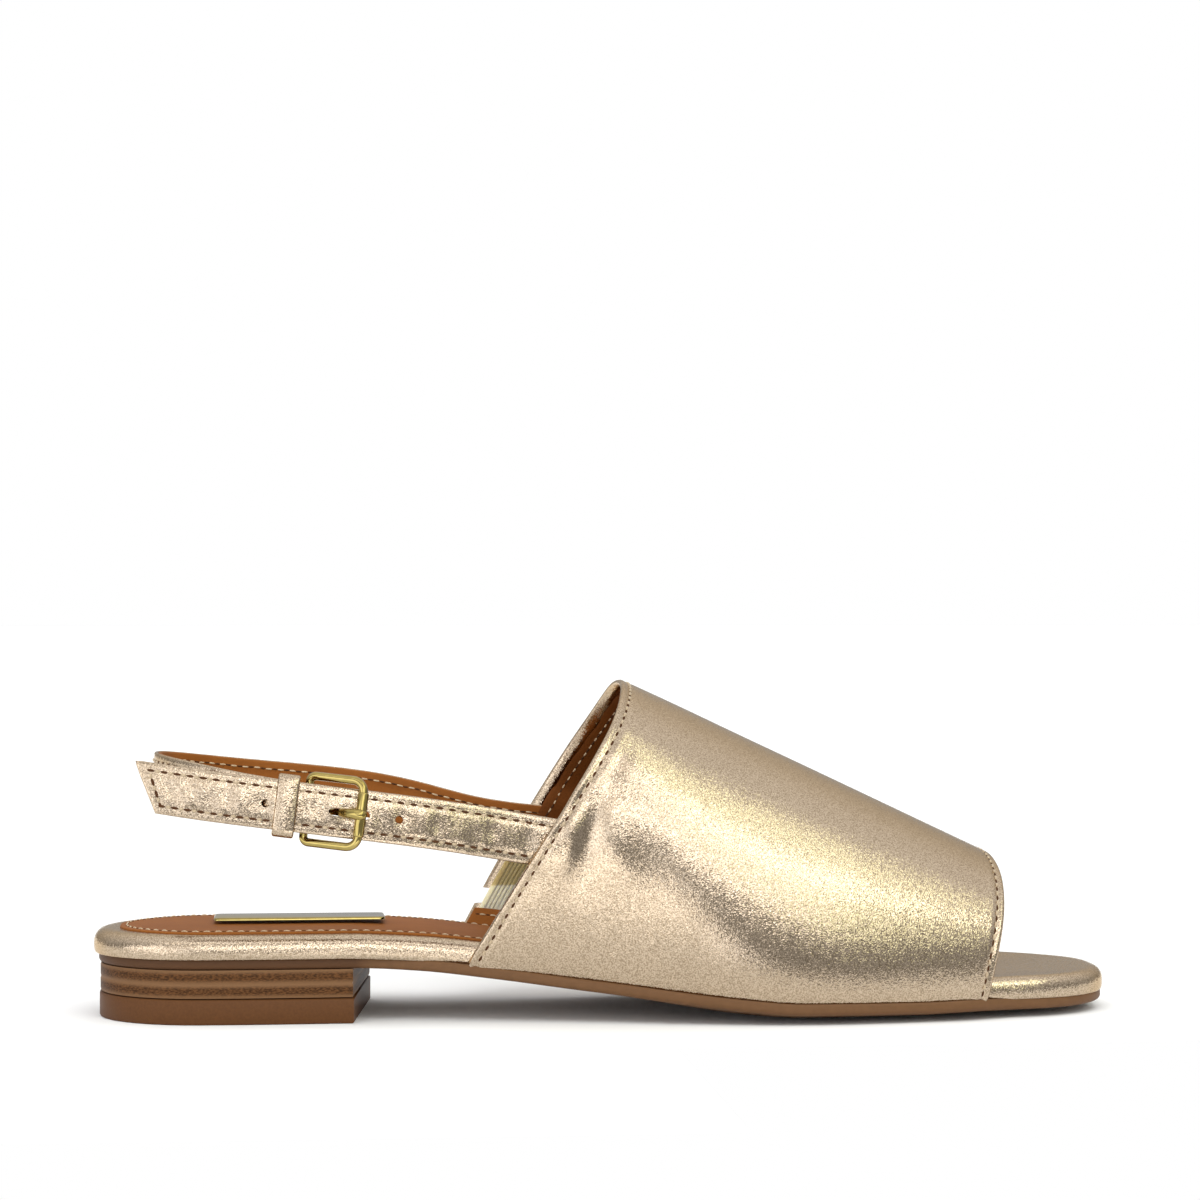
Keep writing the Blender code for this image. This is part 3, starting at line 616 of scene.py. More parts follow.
@dataclass(frozen=True)
class Thread(Finish):
    """Twisted bonded-polyester sewing thread: a soft sheen and a fine twist."""

    relief_mm: float = 0.1
    relief_share: float = 0.6
    sheen: float = 0.2
    twist_mm: float = 0.35  # a real twist is finer; it is drawn as coarse as it needs to be to show

    def dress(self, tree: Tree, where: Socket) -> Coat:
        """Plain yarn with a soft sheen; see Finish.dress."""
        twist = add_node(
            tree, "ShaderNodeTexNoise", {"Vector": where, "Scale": per_mm(self.twist_mm), "Detail": 1.0},
        ).outputs["Fac"]
        return Coat([(twist, self.deep)], twist, {"Sheen Weight": self.sheen})


# Vamp, straps and rim: bright bands of the studio that break up into sparkle at their edges; the darker
# second colour is painted shade in the grain's hollows
GOLD_FOIL = FoilLeather("foil_leather_hot_pressed_champagne", "C8B59E", "9C8A73", 0.085)
# Sock and the straps' backs: warm tan, almost without gloss
TAN_LINING = SmoothLeather("lining_leather_aniline_tan", "945A27", "804B1F", 0.55)
# Inside of the vamp: the same leather in a darker colour, painted shade so that the opening looks deep
VAMP_LINING_PAINTED_SHADE = SmoothLeather("vamp_lining_leather_brown_painted_shade", "6E3C14", "562E0E", 0.6)
# Heel block: speckled dark bands between soft pale lines
STACK_BOARD = StackedFibre("stacked_leather_board_pressed", "623F22", "38220E", 0.5)
# Outsole: a plain brown edge, darker under the heel
SOLE_RUBBER = MouldedRubber("outsole_rubber_moulded_brown", "6F4F34", "5F432B", 0.5, stain="513621")
# Lift: a flat, finely mottled brown
LIFT_RUBBER = MouldedRubber("heel_lift_rubber_moulded_brown", "633F21", "4F3018", 0.5, mottle_mm=0.6)
# Buckle and plate: pale yellow metal with hard highlights
PALE_BRASS = PolishedBrass("buckle_zinc_plated_pale_brass", "B3A064", "928146", 0.07)
# Gore: chalky cream cords, with a lighter painted backlight where the slit is behind them
CREAM_ELASTIC = ElasticWeb("gore_elastic_woven_cream", "BBA570", "9C8654", 0.85)
# Stitches on the linings: light dashes on brown
IVORY_THREAD = Thread("thread_polyester_ivory", "CDB898", "B39C78", 0.6)
# Stitches on the foil: nearly its own colour, so that the holes show more than the thread
GOLD_THREAD = Thread("thread_polyester_champagne", "BCA88C", "A08B6C", 0.4)
# Needle holes: dark matte lenses, painted shade of the holes; on the straps their long dashes also stand for
# the dark thread's own colour
NEEDLE_HOLE_PAINTED_SHADE_AND_DARK_THREAD = SmoothLeather("needle_hole_painted_shade_and_dark_thread", "553823", "402818", 0.8)


# Pieces


def place(name: str, data: bpy.types.ID) -> bpy.types.Object:
    """Put an object into the scene.

    Args:
        name: its name.
        data: the mesh, lamp or camera that it holds.

    Returns:
        The object.
    """
    made = bpy.data.objects.new(name, data)
    bpy.context.scene.collection.objects.link(made)
    return made


def add_piece(
    name: str, shape: Shape, finish: Finish, replaces: Sequence[str] = (),
) -> bpy.types.Object:
    """Make a piece of the sandal, riding on its one body.

    Args:
        name: the piece's name.
        shape: its points and faces, in millimetres.
        finish: its surface.
        replaces: CAD nodes that it stands for.

    Returns:
        The piece.
    """
    points = (np.vstack(shape.points) - (HEEL_CENTRE_X, 0.0, 0.0)) * MM
    mesh = bpy.data.meshes.new(name)
    mesh.from_pydata(points.tolist(), [], shape.faces)
    shaped = bmesh.new()
    shaped.from_mesh(mesh)
    bmesh.ops.recalc_face_normals(shaped, faces=shaped.faces)
    shaped.to_mesh(mesh)
    shaped.free()
    mesh.shade_smooth()
    mesh.set_sharp_from_angle(angle=SMOOTH_ANGLE)
    mesh.materials.append(finish.material())
    piece = place(name, mesh)
    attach(piece, "root")
    if replaces:
        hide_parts(*replaces)
    LOG.info("%s: %d faces, %s", name, len(mesh.polygons), finish.name)
    return piece


def cut_away(piece: bpy.types.Object, cutter: Shape) -> None:
    """Cut a shape out of a piece for good.

    Args:
        piece: what is cut.
        cutter: what is taken away, in millimetres.
    """
    helper = add_piece(piece.name + "_cut", cutter, NEEDLE_HOLE_PAINTED_SHADE_AND_DARK_THREAD)
    modifier = piece.modifiers.new("cut", "BOOLEAN")
    modifier.solver = "EXACT"
    modifier.object = helper
    graph = bpy.context.evaluated_depsgraph_get()
    made = bpy.data.meshes.new_from_object(piece.evaluated_get(graph))
    piece.modifiers.clear()
    piece.data = made
    made.set_sharp_from_angle(angle=SMOOTH_ANGLE)
    bpy.data.objects.remove(helper, do_unlink=True)


# Stitching


@dataclass
class Seam:
    """A row of lock stitches: thread lying on the leather between needle holes that are dark with painted
    shade.
    """

    name: str
    thread: Finish
    slot: Slot
    pitch: float = 3.2
    hole_long: float = 1.7
    hole_wide: float = 0.8
    hole_deep: float = 0.15
    hole_rim: float = 0.15  # angle at which a hole's lens starts and ends
    radius: float = 0.36
    thread_flat: float = 0.85  # height of the thread as a share of its width
    bite: float = 0.42  # share of a hole's length that a stitch keeps from the hole's middle
    arch: float = 1.5  # rise of a stitch's middle, and how deep its ends start, in radii
    sunk: float = 0.95
    end_share: float = 0.55  # width of a stitch's ends
    threads: Shape = field(default_factory=Shape)
    holes: Shape = field(default_factory=Shape)

    def run(self, line: np.ndarray, out: np.ndarray) -> None:
        """Sew along a line.

        Args:
            line: points on the leather's face.
            out: direction away from the leather, one per point.
        """
        total = run_of(line)[-1]
        count = max(1, round(total / self.pitch))
        step, gap = total / count, self.hole_long * self.bite
        for i in range(count):
            self._stitch(line, out, np.linspace(i * step + gap, (i + 1) * step - gap, num=6))
            self._hole(line, out, i * step)

    def _frame(self, line: np.ndarray, out: np.ndarray, places: np.ndarray) -> tuple[np.ndarray, ...]:
        """Points, directions and normals of the seam.

        Args:
            line: points on the leather's face.
            out: direction away from it.
            places: distances along the line.

        Returns:
            Points, directions along, across and outward.
        """
        reach = 0.3
        along = unit(spread(line, places + reach) - spread(line, places - reach))
        lift = unit(spread(line, places, out))
        return spread(line, places), along, unit(np.cross(along, lift)), lift

    def _stitch(self, line: np.ndarray, out: np.ndarray, places: np.ndarray) -> None:
        """One stitch: a short thread that dips into its holes.

        Args:
            line: points on the leather's face.
            out: direction away from it.
            places: distances along the line.
        """
        at, _, across, lift = self._frame(line, out, places)
        swell = np.sin(np.linspace(0, 1, len(places)) * math.pi)
        high = self.radius * (self.arch * swell**0.6 - self.sunk)
        wide = self.radius * (self.end_share + (1 - self.end_share) * swell**0.5)
        profiles = wide[:, None, None] * round_outline(1.0, self.thread_flat, sides=7)[None]
        self.threads.join(swept(at + lift * high[:, None], across, lift, profiles, closed=False))

    def _hole(self, line: np.ndarray, out: np.ndarray, place: float) -> None:
        """One needle hole: a low lens pressed into the leather, dark with painted shade.

        Args:
            line: points on the leather's face.
            out: direction away from it.
            place: distance along the line.
        """
        at, along, across, lift = (part[:1] for part in self._frame(line, out, np.array([place])))
        turns = np.linspace(self.hole_rim, math.pi - self.hole_rim, num=5)
        flat = round_outline(self.hole_long / 2, self.hole_wide / 2, sides=10)
        profiles = np.sin(turns)[:, None, None] * flat[None]
        centres = at + lift * (self.hole_deep * np.cos(turns))[:, None]
        size = len(turns)
        self.holes.join(swept(centres, each(along[0], size), each(across[0], size), profiles, closed=False))

    def finish(self) -> None:
        """Make the sewn rows into pieces."""
        add_piece(self.name + "_thread", self.threads, self.thread)
        # the holes' dark lenses are painted shade, and on the straps also the dark thread's own colour
        add_piece(self.name + "_needle_holes", self.holes, NEEDLE_HOLE_PAINTED_SHADE_AND_DARK_THREAD)


# Small stitches of the sock and of the tab under the elastic
FINE_STITCH = {"pitch": 2.8, "hole_long": 1.1, "hole_wide": 0.4, "radius": 0.2}


# The form of the foot


@dataclass
class Last:
    """The form that sole and upper are made on."""

    length: float = 256.6
    wall_outset: float = 2.1
    seat_gap: float = 0.45
    heel_round: float = 28.0
    heel_power: float = 2.2
    toe_round: float = 26.0
    toe_power: float = 2.5
    flat_share: float = 0.45
    crown_end: float = 1.2
    dome_power: float = 2.15
    low_share: float = 0.3
    tip_angle: float = 0.03  # how near to the tips of heel and toe the outline's first points lie
    edge_rounds: int = 14  # tries that find where a line of equal rise meets an edge

    # x, half width to the lateral side, half width to the medial side
    outline: Rows = (
        (0, 26.0, 26.0), (30, 28.0, 28.0), (50, 28.0, 27.5), (70, 27.3, 26.0), (90, 27.2, 24.2),
        (110, 29.0, 24.0), (130, 32.5, 26.5), (150, 36.8, 32.0), (168, 39.3, 37.5), (185, 39.3, 41.0),
        (200, 37.3, 41.5), (216, 34.3, 38.8), (232, 31.0, 34.2), (257, 26.5, 24.5),
    )
    # x, height of the footbed's underside, rise of its edges over that
    sole: Rows = (
        (0, 15.7, 0.0), (62, 15.7, 0.0), (81, 14.9, 0.0), (100, 12.8, 0.1), (116, 10.4, 0.4),
        (131, 8.0, 0.9), (146, 5.4, 1.5), (160, 3.3, 2.0), (174, 2.2, 2.1), (202, 2.2, 1.9),
        (221, 2.9, 1.5), (240, 3.6, 0.9), (257, 4.7, 0.4),
    )
    # x, ridge y, ridge z, then how far out and how high the widest point of each side is
    sections: Rows = (
        (85, 3.0, 104.2, 5.0, 54.0, 9.0, 48.0), (110, 3.5, 94.2, 6.8, 53.0, 10.0, 46.0),
        (133, 4.0, 83.9, 5.2, 46.5, 9.0, 41.0), (148, 4.5, 77.0, 4.0, 33.0, 7.0, 35.0),
        (163, 5.0, 69.9, 2.6, 22.5, 4.8, 28.0), (183, 5.0, 60.5, 1.3, 16.5, 2.4, 20.0),
        (206, 4.5, 49.6, 1.0, 15.0, 1.3, 16.0), (231, 4.0, 37.8, 0.8, 15.0, 1.0, 15.0),
    )
    # z, x of the edge seen from the side
    throat: Rows = ((8, 88.5), (20, 95.5), (35, 104.2), (51, 113.8), (65, 122.3), (76, 129.0), (90, 136.0))
    toe_edge: Rows = ((2, 220.4), (15, 223.0), (29, 226.3), (36, 227.8), (44, 229.0))

    def __post_init__(self) -> None:
        """Turn the tables into curves."""
        x, *widths = np.array(self.outline).T
        self.lateral, self.medial = (Curve(x, wide) for wide in widths)
        x, *levels = np.array(self.sole).T
        self.height, self.crown = (Curve(x, level, Bend.STEADY) for level in levels)
        x, *places = np.array(self.sections).T
        self.form = [Curve(x, at) for at in places]
        self.throat_line, self.toe_line = (
            Curve(*np.array(rows).T, Bend.STEADY) for rows in (self.throat, self.toe_edge)
        )

    def edge(self, x: np.ndarray, side: Side) -> np.ndarray:
        """y of the footbed's edge.

        Args:
            x: places along the shoe.
            side: which edge.

        Returns:
            y at each place.
        """
        lateral, medial = self.lateral.at(x), self.medial.at(x)
        back = np.clip((self.heel_round - x) / self.heel_round, 0, 1)
        front = np.clip((self.toe_round - (self.length - x)) / self.toe_round, 0, 1)
        heel = (1 - back**self.heel_power)**(1 / self.heel_power)
        toe = (1 - front**self.toe_power)**(1 / self.toe_power)
        return (medial - lateral) / 2 + side.value * (medial + lateral) / 2 * heel * toe

    def sole_height(self, x: np.ndarray, y: np.ndarray) -> np.ndarray:
        """Underside of the footbed.

        Args:
            x: places along the shoe.
            y: places across it.

        Returns:
            Height over the floor.
        """
        lateral, medial = self.lateral.at(x), self.medial.at(x)
        share = np.abs(y - (medial - lateral) / 2) / ((medial + lateral) / 2)
        over = np.clip(np.minimum(share, self.crown_end) - self.flat_share, 0, None) / (1 - self.flat_share)
        return self.height.at(x) + self.crown.at(x) * over**2

    def over_sole(self, flat: np.ndarray, rise: float) -> np.ndarray:
        """Points (x, y), each put this far over the footbed's underside."""
        return np.column_stack((flat, self.sole_height(flat[:, 0], flat[:, 1]) + rise))

    def section(self, x: np.ndarray, side: Side, rise: np.ndarray) -> np.ndarray:
        """Points of the upper's outside.

        Args:
            x: places along the shoe.
            side: which side of the ridge.
            rise: 0 at the sole's edge to 1 on the ridge, one per place.

        Returns:
            The points.
        """
        ridge_y, ridge_z, *sides = (curve.at(x) for curve in self.form)
        out, wide_z = sides[:2] if side is Side.LATERAL else sides[2:]
        base_y = self.edge(x, side) + side.value * self.wall_outset
        base_z = self.sole_height(x, base_y) + self.seat_gap
        wide_y = base_y + side.value * out
        low = np.clip(rise / self.low_share, 0, 1)
        turn = np.clip((rise - self.low_share) / (1 - self.low_share), 0, 1) * math.pi / 2
        keep = np.clip(np.cos(turn), 0, 1)**(2 / self.dome_power)
        lift = np.sin(turn)**(2 / self.dome_power)
        is_low = rise < self.low_share
        low_y = base_y + (wide_y - base_y) * np.sin(low * math.pi / 2)
        y = np.where(is_low, low_y, ridge_y + (wide_y - ridge_y) * keep)
        z = np.where(is_low, base_z + (wide_z - base_z) * low, wide_z + (ridge_z - wide_z) * lift)
        return np.stack((np.broadcast_to(x, y.shape), y, z), axis=-1)

    def edge_x(self, line: Curve, side: Side, rise: np.ndarray) -> np.ndarray:
        """x where lines of equal rise meet the throat or the toe opening.

        Args:
            line: the edge seen from the side.
            side: which side of the ridge.
            rise: the lines.

        Returns:
            x of each.
        """
        x = np.full(len(rise), line.values[0])
        for _ in range(self.edge_rounds):
            x = line.at(self.section(x, side, rise)[:, 2])
        return x

    def ring(self, inset: float | np.ndarray, steps: int = 150, end_x: float | None = None) -> np.ndarray:
        """The sole's outline, moved inward.

        Args:
            inset: how far in, one for all or one for each point.
            steps: points along each side.
            end_x: where the outline is cut off square, or None for the whole sole.

        Returns:
            Points (x, y): lateral side from heel to toe, then medial side back.
        """
        whole = end_x is None
        full = math.pi if whole else math.pi / 2
        angles = np.linspace(self.tip_angle, full - (self.tip_angle if whole else 0), steps)
        xs = (self.length if whole else end_x) * (1 - np.cos(angles)) / (1 - math.cos(full))
        sides = [np.column_stack((xs, self.edge(xs, side))) for side in Side]
        ring = np.vstack((sides[0], sides[1][::-1]))
        along = round_run(ring)
        if not whole:
            along[steps - 1], along[steps] = along[steps - 2], along[steps + 1]
        inward = np.column_stack((-along[:, 1], along[:, 0]))
        return ring + inward * np.broadcast_to(inset, len(ring))[:, None]


def layer(rings: Sequence[np.ndarray], across: int) -> Shape:
    """A sole layer from rings up its side, closed by a grid below and above.

    Args:
        rings: outlines in three dimensions from the lowest up, each lateral side then medial side back.
        across: faces across the two closing grids.

    Returns:
        The closed layer.
    """
    size = len(rings[0])
    half, count = size // 2, len(rings) * size
    ids = np.arange(count).reshape(len(rings), size)
    points, faces = list(rings), [tube_faces(ids)]
    shares = np.linspace(0, 1, across + 1)[None, 1:-1, None]
    for level in (0, -1):
        lateral, medial = rings[level][:half], rings[level][half:][::-1]
        inner = np.arange(half * (across - 1)).reshape(half, across - 1) + count
        numbers = np.column_stack((ids[level][:half], inner, ids[level][half:][::-1]))
        points.append((lateral[:, None] + (medial - lateral)[:, None] * shares).reshape(-1, 3))
        faces.append(grid_faces(numbers))
        count += inner.size
    return Shape().add(np.vstack(points), np.vstack(faces))


# Sole and heel


@dataclass
class Sole:
    """Outsole, padded footbed and sock."""

    last: Last
    sock_inset: float = 4.6
    sock_end_x: float = 208.0
    sock_base: float = 6.3
    seam_inset: float = 6.3
    seam_rise: float = 6.78
    across: int = 16
    fill: float = 0.9
    # how far in from the outline, and how high over the footbed's underside
    outsole_profile: Rows = (
        (1.4, -2.2), (0.75, -2.1), (0.3, -1.85), (0.05, -1.45), (0.0, -1.0), (0.0, -0.1), (0.08, 0.3),
        (0.25, 0.55), (0.6, 0.65),
    )
    outsole_top: float = 0.0  # inside the raised edge
    footbed_profile: Rows = (
        (1.2, 0.15), (0.65, 0.2), (0.3, 0.42), (0.1, 0.85), (0.0, 1.6), (0.0, 2.8), (0.12, 3.8),
        (0.5, 4.7), (1.05, 5.35), (1.8, 5.85), (2.9, 6.18), (4.2, 6.3),
    )
    sock_profile: Rows = ((0.0, 0.0), (0.0, 0.2), (0.08, 0.34), (0.25, 0.42), (0.5, 0.45))
    # x, how far the sock's outline is moved out; it stops short of the heel's end
    sock_grow: Rows = ((0, -1.9), (8, -1.7), (26, 0.0), (257, 0.0))
    # x, how far the outsole stands outside the footbed
    outsole_grow: Rows = (
        (0, -1.3), (70, -1.3), (96, 1.7), (120, 2.35), (214, 2.35), (230, -0.4), (257, -0.5),
    )

    def outline(self, inset: float, grow: Rows | None, end_x: float | None) -> np.ndarray:
        """The sole's outline for one layer.

        Args:
            inset: how far it is moved in.
            grow: x and how far it is moved out there, or None.
            end_x: where it is cut off square, or None.

        Returns:
            Points (x, y).
        """
        if grow is None:
            return self.last.ring(inset, end_x=end_x)
        out = Curve(*np.array(grow).T, Bend.STEADY).at(self.last.ring(0.0, end_x=end_x)[:, 0])
        return self.last.ring(inset - out, end_x=end_x)

    def made(
        self, profile: Rows, grow: Rows | None = None, top: float | None = None,
        inset: float = 0.0, base: float = 0.0, end_x: float | None = None,
    ) -> Shape:
        """One layer, whose lower and upper face follow the sole's own height.

        Args:
            profile: rows of inset and rise.
            grow: x and how far the outline is moved out there.
            top: rise of the upper face, or None for that of the highest row.
            inset: added to each row's inset.
            base: added to each rise.
            end_x: where the layer is cut off square.

        Returns:
            The closed layer.
        """
        rings = [
            self.last.over_sole(self.outline(inset + step_in, grow, end_x), base + rise)
            for step_in, rise in profile
        ]
        shape = layer(rings, self.across)
        inner = shape.points[0][len(rings) * len(rings[0]):]
        half = len(inner) // 2
        rises = (profile[0][1], profile[-1][1] if top is None else top)
        for part, rise in zip((inner[:half], inner[half:]), rises):
            part[:] = self.last.over_sole(part[:, :2], base + rise)
        return shape

    def build(self) -> None:
        """Make the three layers and the sock's seam."""
        outsole = self.made(self.outsole_profile, self.outsole_grow, self.outsole_top)
        add_piece("outsole_moulded", outsole, SOLE_RUBBER, ["outsole"])
        footbed = self.made(self.footbed_profile)
        add_piece("footbed_wrapped", footbed, GOLD_FOIL, ["footbed"])
        sock = self.made(
            self.sock_profile, self.sock_grow,
            inset=self.sock_inset, base=self.sock_base, end_x=self.sock_end_x,
        )
        add_piece("sock", sock, TAN_LINING, ["insole_sock"])
        seam = Seam("sock_seam", IVORY_THREAD, Slot.LINING, **FINE_STITCH)
        flat = self.outline(self.seam_inset, self.sock_grow, self.sock_end_x)
        steps = len(flat) // 2
        line = self.last.over_sole(np.vstack((flat[:steps][::-1], flat[steps:][::-1])), self.seam_rise)
        seam.run(line, each(UP, len(line)))
        seam.finish()


@dataclass
class Heel:
    """Stacked heel block and its lift."""

    last: Last
    breast_lateral_x: float = 64.4
    breast_medial_x: float = 69.8
    inset: float = 1.7
    proud: float = 0.2
    stack_low: float = 6.5
    stack_high: float = 13.4
    layers: int = 2
    groove: float = 0.14
    layer_round: Rows = ((0.1, 0.22), (0.0, 0.5))  # inset, distance from a layer's lower or upper face
    lift_profile: Rows = ((0.5, 0.0), (0.15, 0.12), (0.0, 0.4), (0.0, 5.8), (0.12, 6.08), (0.4, 6.2))
    steps: int = 60
    outline_steps: int = 260
    across: int = 4

    def ring(self, inset: float, z: float) -> np.ndarray:
        """Outline of the heel, cut off askew at its breast.

        Args:
            inset: how far in from the sole's outline.
            z: its height.

        Returns:
            Points, lateral side from the back to the breast, then medial side back.
        """
        count = self.outline_steps
        whole = self.last.ring(inset, count)
        growing = 1 - np.cos(np.linspace(0.0, math.pi / 2, self.steps))
        sides = []
        breasts = self.breast_lateral_x, self.breast_medial_x
        for part, breast in zip((whole[:count], whole[count:][::-1]), breasts):
            xs = part[0, 0] + (breast - (inset - self.inset) - part[0, 0]) * growing
            ys = np.interp(xs, part[:, 0], part[:, 1])
            sides.append(np.column_stack((xs, ys, np.full(self.steps, z))))
        return np.vstack((sides[0], sides[1][::-1]))

    def build(self) -> None:
        """Make the block with its grooved layers, and the lift."""
        tall = (self.stack_high - self.stack_low) / self.layers
        below = [(self.groove, 0.0), *self.layer_round]
        above = [(inset, tall - away) for inset, away in reversed(self.layer_round)]
        rows = [
            (self.inset + inset, self.stack_low + number * tall + rise)
            for number in range(self.layers) for inset, rise in below + above
        ]
        rows.append((self.inset + self.groove, self.stack_high))
        stack = layer([self.ring(*row) for row in rows], self.across)
        add_piece("heel_stacked", stack, STACK_BOARD, ["heel_stack"])
        rings = [self.ring(self.inset - self.proud + inset, z) for inset, z in self.lift_profile]
        add_piece("heel_lift_moulded", layer(rings, self.across), LIFT_RUBBER, ["heel_lift"])


# Upper


@dataclass
class Upper:
    """The vamp: foil leather with turned edges over a lining, slit on the inner side."""

    last: Last
    leather: float = 1.05
    lining: float = 0.65
    lining_gap: float = 0.08
    turned: float = 2.4
    turned_fade: float = 1.4
    edge_thick: float = 1.7
    tuck: float = 0.55
    tuck_high: float = 3.6
    seat_drop: float = 0.35
    flare: float = 0.9
    flare_wide: float = 4.5
    seam_in: float = 1.8
    seam_low: float = 1.5
    dip_deep: float = 0.32
    dip_wide: float = 0.6
    throat_slope: float = 0.86  # how much of a step forward leads away from the slanted throat edge
    side_fade: tuple[float, float] = (5.0, 20.0)  # y over which what belongs to one side comes in
    rises: int = 64
    runs: int = 84
    lining_runs: int = 40
    wall_rises: int = 25
    # distances of the grid's fine columns from the throat and from the toe edge
    near: tuple[float, ...] = (0.0, 0.5, 1.0, 1.5, 2.0, 2.4, 2.8, 3.3, 3.9, 4.6, 5.4)
    trim_waves: Rows = ((0.25, 47.0, 0.0), (0.2, 111.0, 1.0))  # height, waves round the edge, start
    lining_seam_column: int = 3
    lining_seam_low: float = 30.0
    slit: Rows = ((85.0, 26.8, 5.2), (128.0, 25.2, 1.6))  # x, z and height of its two ends
    slit_reach: tuple[float, float] = (22.0, 48.0)
    gore_length: float = 36.0
    gore_setback: float = 2.0
    gore_depth: float = 2.2
    gore_thick: float = 0.7
    gore_rise: tuple[float, float] = (0.06, 0.205)
    gore_runs: int = 180
    rib_mm: float = 1.05
    rib_high: float = 0.16
    tab_rise: tuple[float, float] = (0.02, 0.073)
    tab_start: float = -1.2
    tab_depth: float = 3.15
    tab_runs: int = 60
    tab_seam_row: int = 6
    # where a strap's end goes under the lining: y's sign, x and z of its middle and its slope there, then
    # how far the lining stands off the leather and where that starts under the strap's middle
    pockets: Rows = (
        (Side.LATERAL.value, 110.0, 45.0, -0.16, 4.6, -12.0),
        (Side.MEDIAL.value, 110.0, 44.0, -0.1, 2.7, -7.3),
    )
    # the pocket is full from the first height over the strap's middle and fades between the other two;
    # it also fades forward between two distances
    pocket_over: tuple[float, float, float] = (-6.1, 6.3, 12.0)
    pocket_ahead: tuple[float, float] = (14.0, 22.0)

    # x, z, half length, half height, lift, lean in degrees, flatness: swells and troughs of the outer side
    creases: Rows = (
        (110.0, 45.0, 9.0, 7.0, 0.9, -9.0, 4),
        (117.4, 47.0, 1.9, 6.5, 0.5, -3.0, 2),
        (121.4, 46.5, 2.0, 8.0, -0.85, -17.0, 2),
        (127.8, 43.0, 5.0, 9.0, 0.9, 16.0, 2),
        (119.0, 55.5, 12.0, 3.0, -0.3, 8.0, 2),
        (112.5, 35.0, 3.0, 5.0, 0.35, 20.0, 2),
        (128.5, 63.0, 1.8, 6.0, -0.2, -27.0, 2),
    )

    def trim(self, share: np.ndarray) -> np.ndarray:
        """How unevenly the lining's edge is cut by hand, by the share of the way round."""
        return sum(high * np.sin(share * waves + start) for high, waves, start in self.trim_waves)

    def grid(self, inset: float, coarse: int, ragged: bool = False) -> np.ndarray:
        """Outside of the vamp.

        Args:
            inset: how far its throat and toe edges are moved in.
            coarse: columns in the middle.
            ragged: whether those edges are cut by hand.

        Returns:
            Rows from the lateral sole edge over the ridge, columns from throat to toe.
        """
        rows = []
        rises = np.linspace(0, 1, self.rises + 1)
        for side in Side:
            ordered = rises if side is Side.LATERAL else rises[-2::-1]
            share = ordered / 2 if side is Side.LATERAL else 1 - ordered / 2
            away = inset + (self.trim(share) if ragged else 0.0)
            start = self.last.edge_x(self.last.throat_line, side, ordered) + away / self.throat_slope
            stop = self.last.edge_x(self.last.toe_line, side, ordered) - away
            low, high = start + self.near[-1] / self.throat_slope, stop - self.near[-1]
            columns = [start + d / self.throat_slope for d in self.near]
            columns += [low + (high - low) * m for m in np.linspace(0, 1, coarse)[1:-1]]
            columns += [stop - d for d in reversed(self.near)]
            rows.append(np.stack([self.last.section(x, side, ordered) for x in columns], axis=1))
        return self.swell(np.concatenate(rows), inset)

    def swell(self, grid: np.ndarray, inset: float) -> np.ndarray:
        """Raise and sink the outer side by its creases, and flare the inner side's throat.

        Args:
            grid: the plain form.
            inset: how far its edges are moved in.

        Returns:
            The creased form.
        """
        outward = -grid_inward(grid)
        lift = np.zeros(grid.shape[:2])
        for x, z, long, tall, high, lean, flat in self.creases:
            turn = math.radians(lean)
            dx, dz = grid[..., 0] - x, grid[..., 2] - z
            along = (dx * math.cos(turn) + dz * math.sin(turn)) / long
            over = (dz * math.cos(turn) - dx * math.sin(turn)) / tall
            lift += high * np.exp(-np.abs(along)**flat - np.abs(over)**flat)
        lift *= soft_step(-grid[..., 1], *self.side_fade)
        away = inset + np.linalg.norm(grid - grid[:, :1], axis=-1)
        flare = self.flare * (1 - np.clip(away / self.flare_wide, 0, 1))**2
        lift += flare * soft_step(grid[..., 1], *self.side_fade)
        height = grid[..., 2] - np.minimum(grid[:1, :, 2], grid[-1:, :, 2])
        low = (1 - np.clip(height / self.tuck_high, 0, 1))**2
        lift -= self.tuck * low
        return grid + outward * lift[..., None] - UP * (self.seat_drop * low)[..., None]

    def pressed(self, grid: np.ndarray) -> np.ndarray:
        """Press the two seam lines a little into the leather.

        Args:
            grid: the outer face.

        Returns:
            The pressed face.
        """
        from_seam = np.array(self.near) + self.edge_thick / 2 - self.seam_in
        dip = self.dip_deep * np.exp(-(from_seam / self.dip_wide)**2)
        depth = np.zeros(grid.shape[1])
        depth[:len(dip)] += dip
        depth[-len(dip):] += dip[::-1]
        return grid + grid_inward(grid) * depth[None, :, None]

    def slit_wedge(self) -> Shape:
        """Wedge that opens the inner side from the throat.

        Returns:
            The closed wedge.
        """
        points = [
            (x, y, z + tall * part)
            for x, z, tall in self.slit for y in self.slit_reach for part in (-0.5, 0.5)
        ]
        faces = ((0, 1, 3, 2), (4, 6, 7, 5), (0, 4, 5, 1), (2, 3, 7, 6), (0, 2, 6, 4), (1, 5, 7, 3))
        return Shape().add(np.array(points), faces)

    def inner_wall(self, rise: tuple[float, float], away: np.ndarray) -> np.ndarray:
        """Stretch of the inner side's wall behind the throat.

        Args:
            rise: its lowest and highest line.
            away: distances of its columns from the throat edge, less the elastic's setback.

        Returns:
            Rows from the highest line down, columns away from the throat.
        """
        rises = np.linspace(rise[1], rise[0], self.wall_rises)
        start = self.last.edge_x(self.last.throat_line, Side.MEDIAL, rises) + self.gore_setback
        return np.stack([self.last.section(start + d, Side.MEDIAL, rises) for d in away], axis=1)

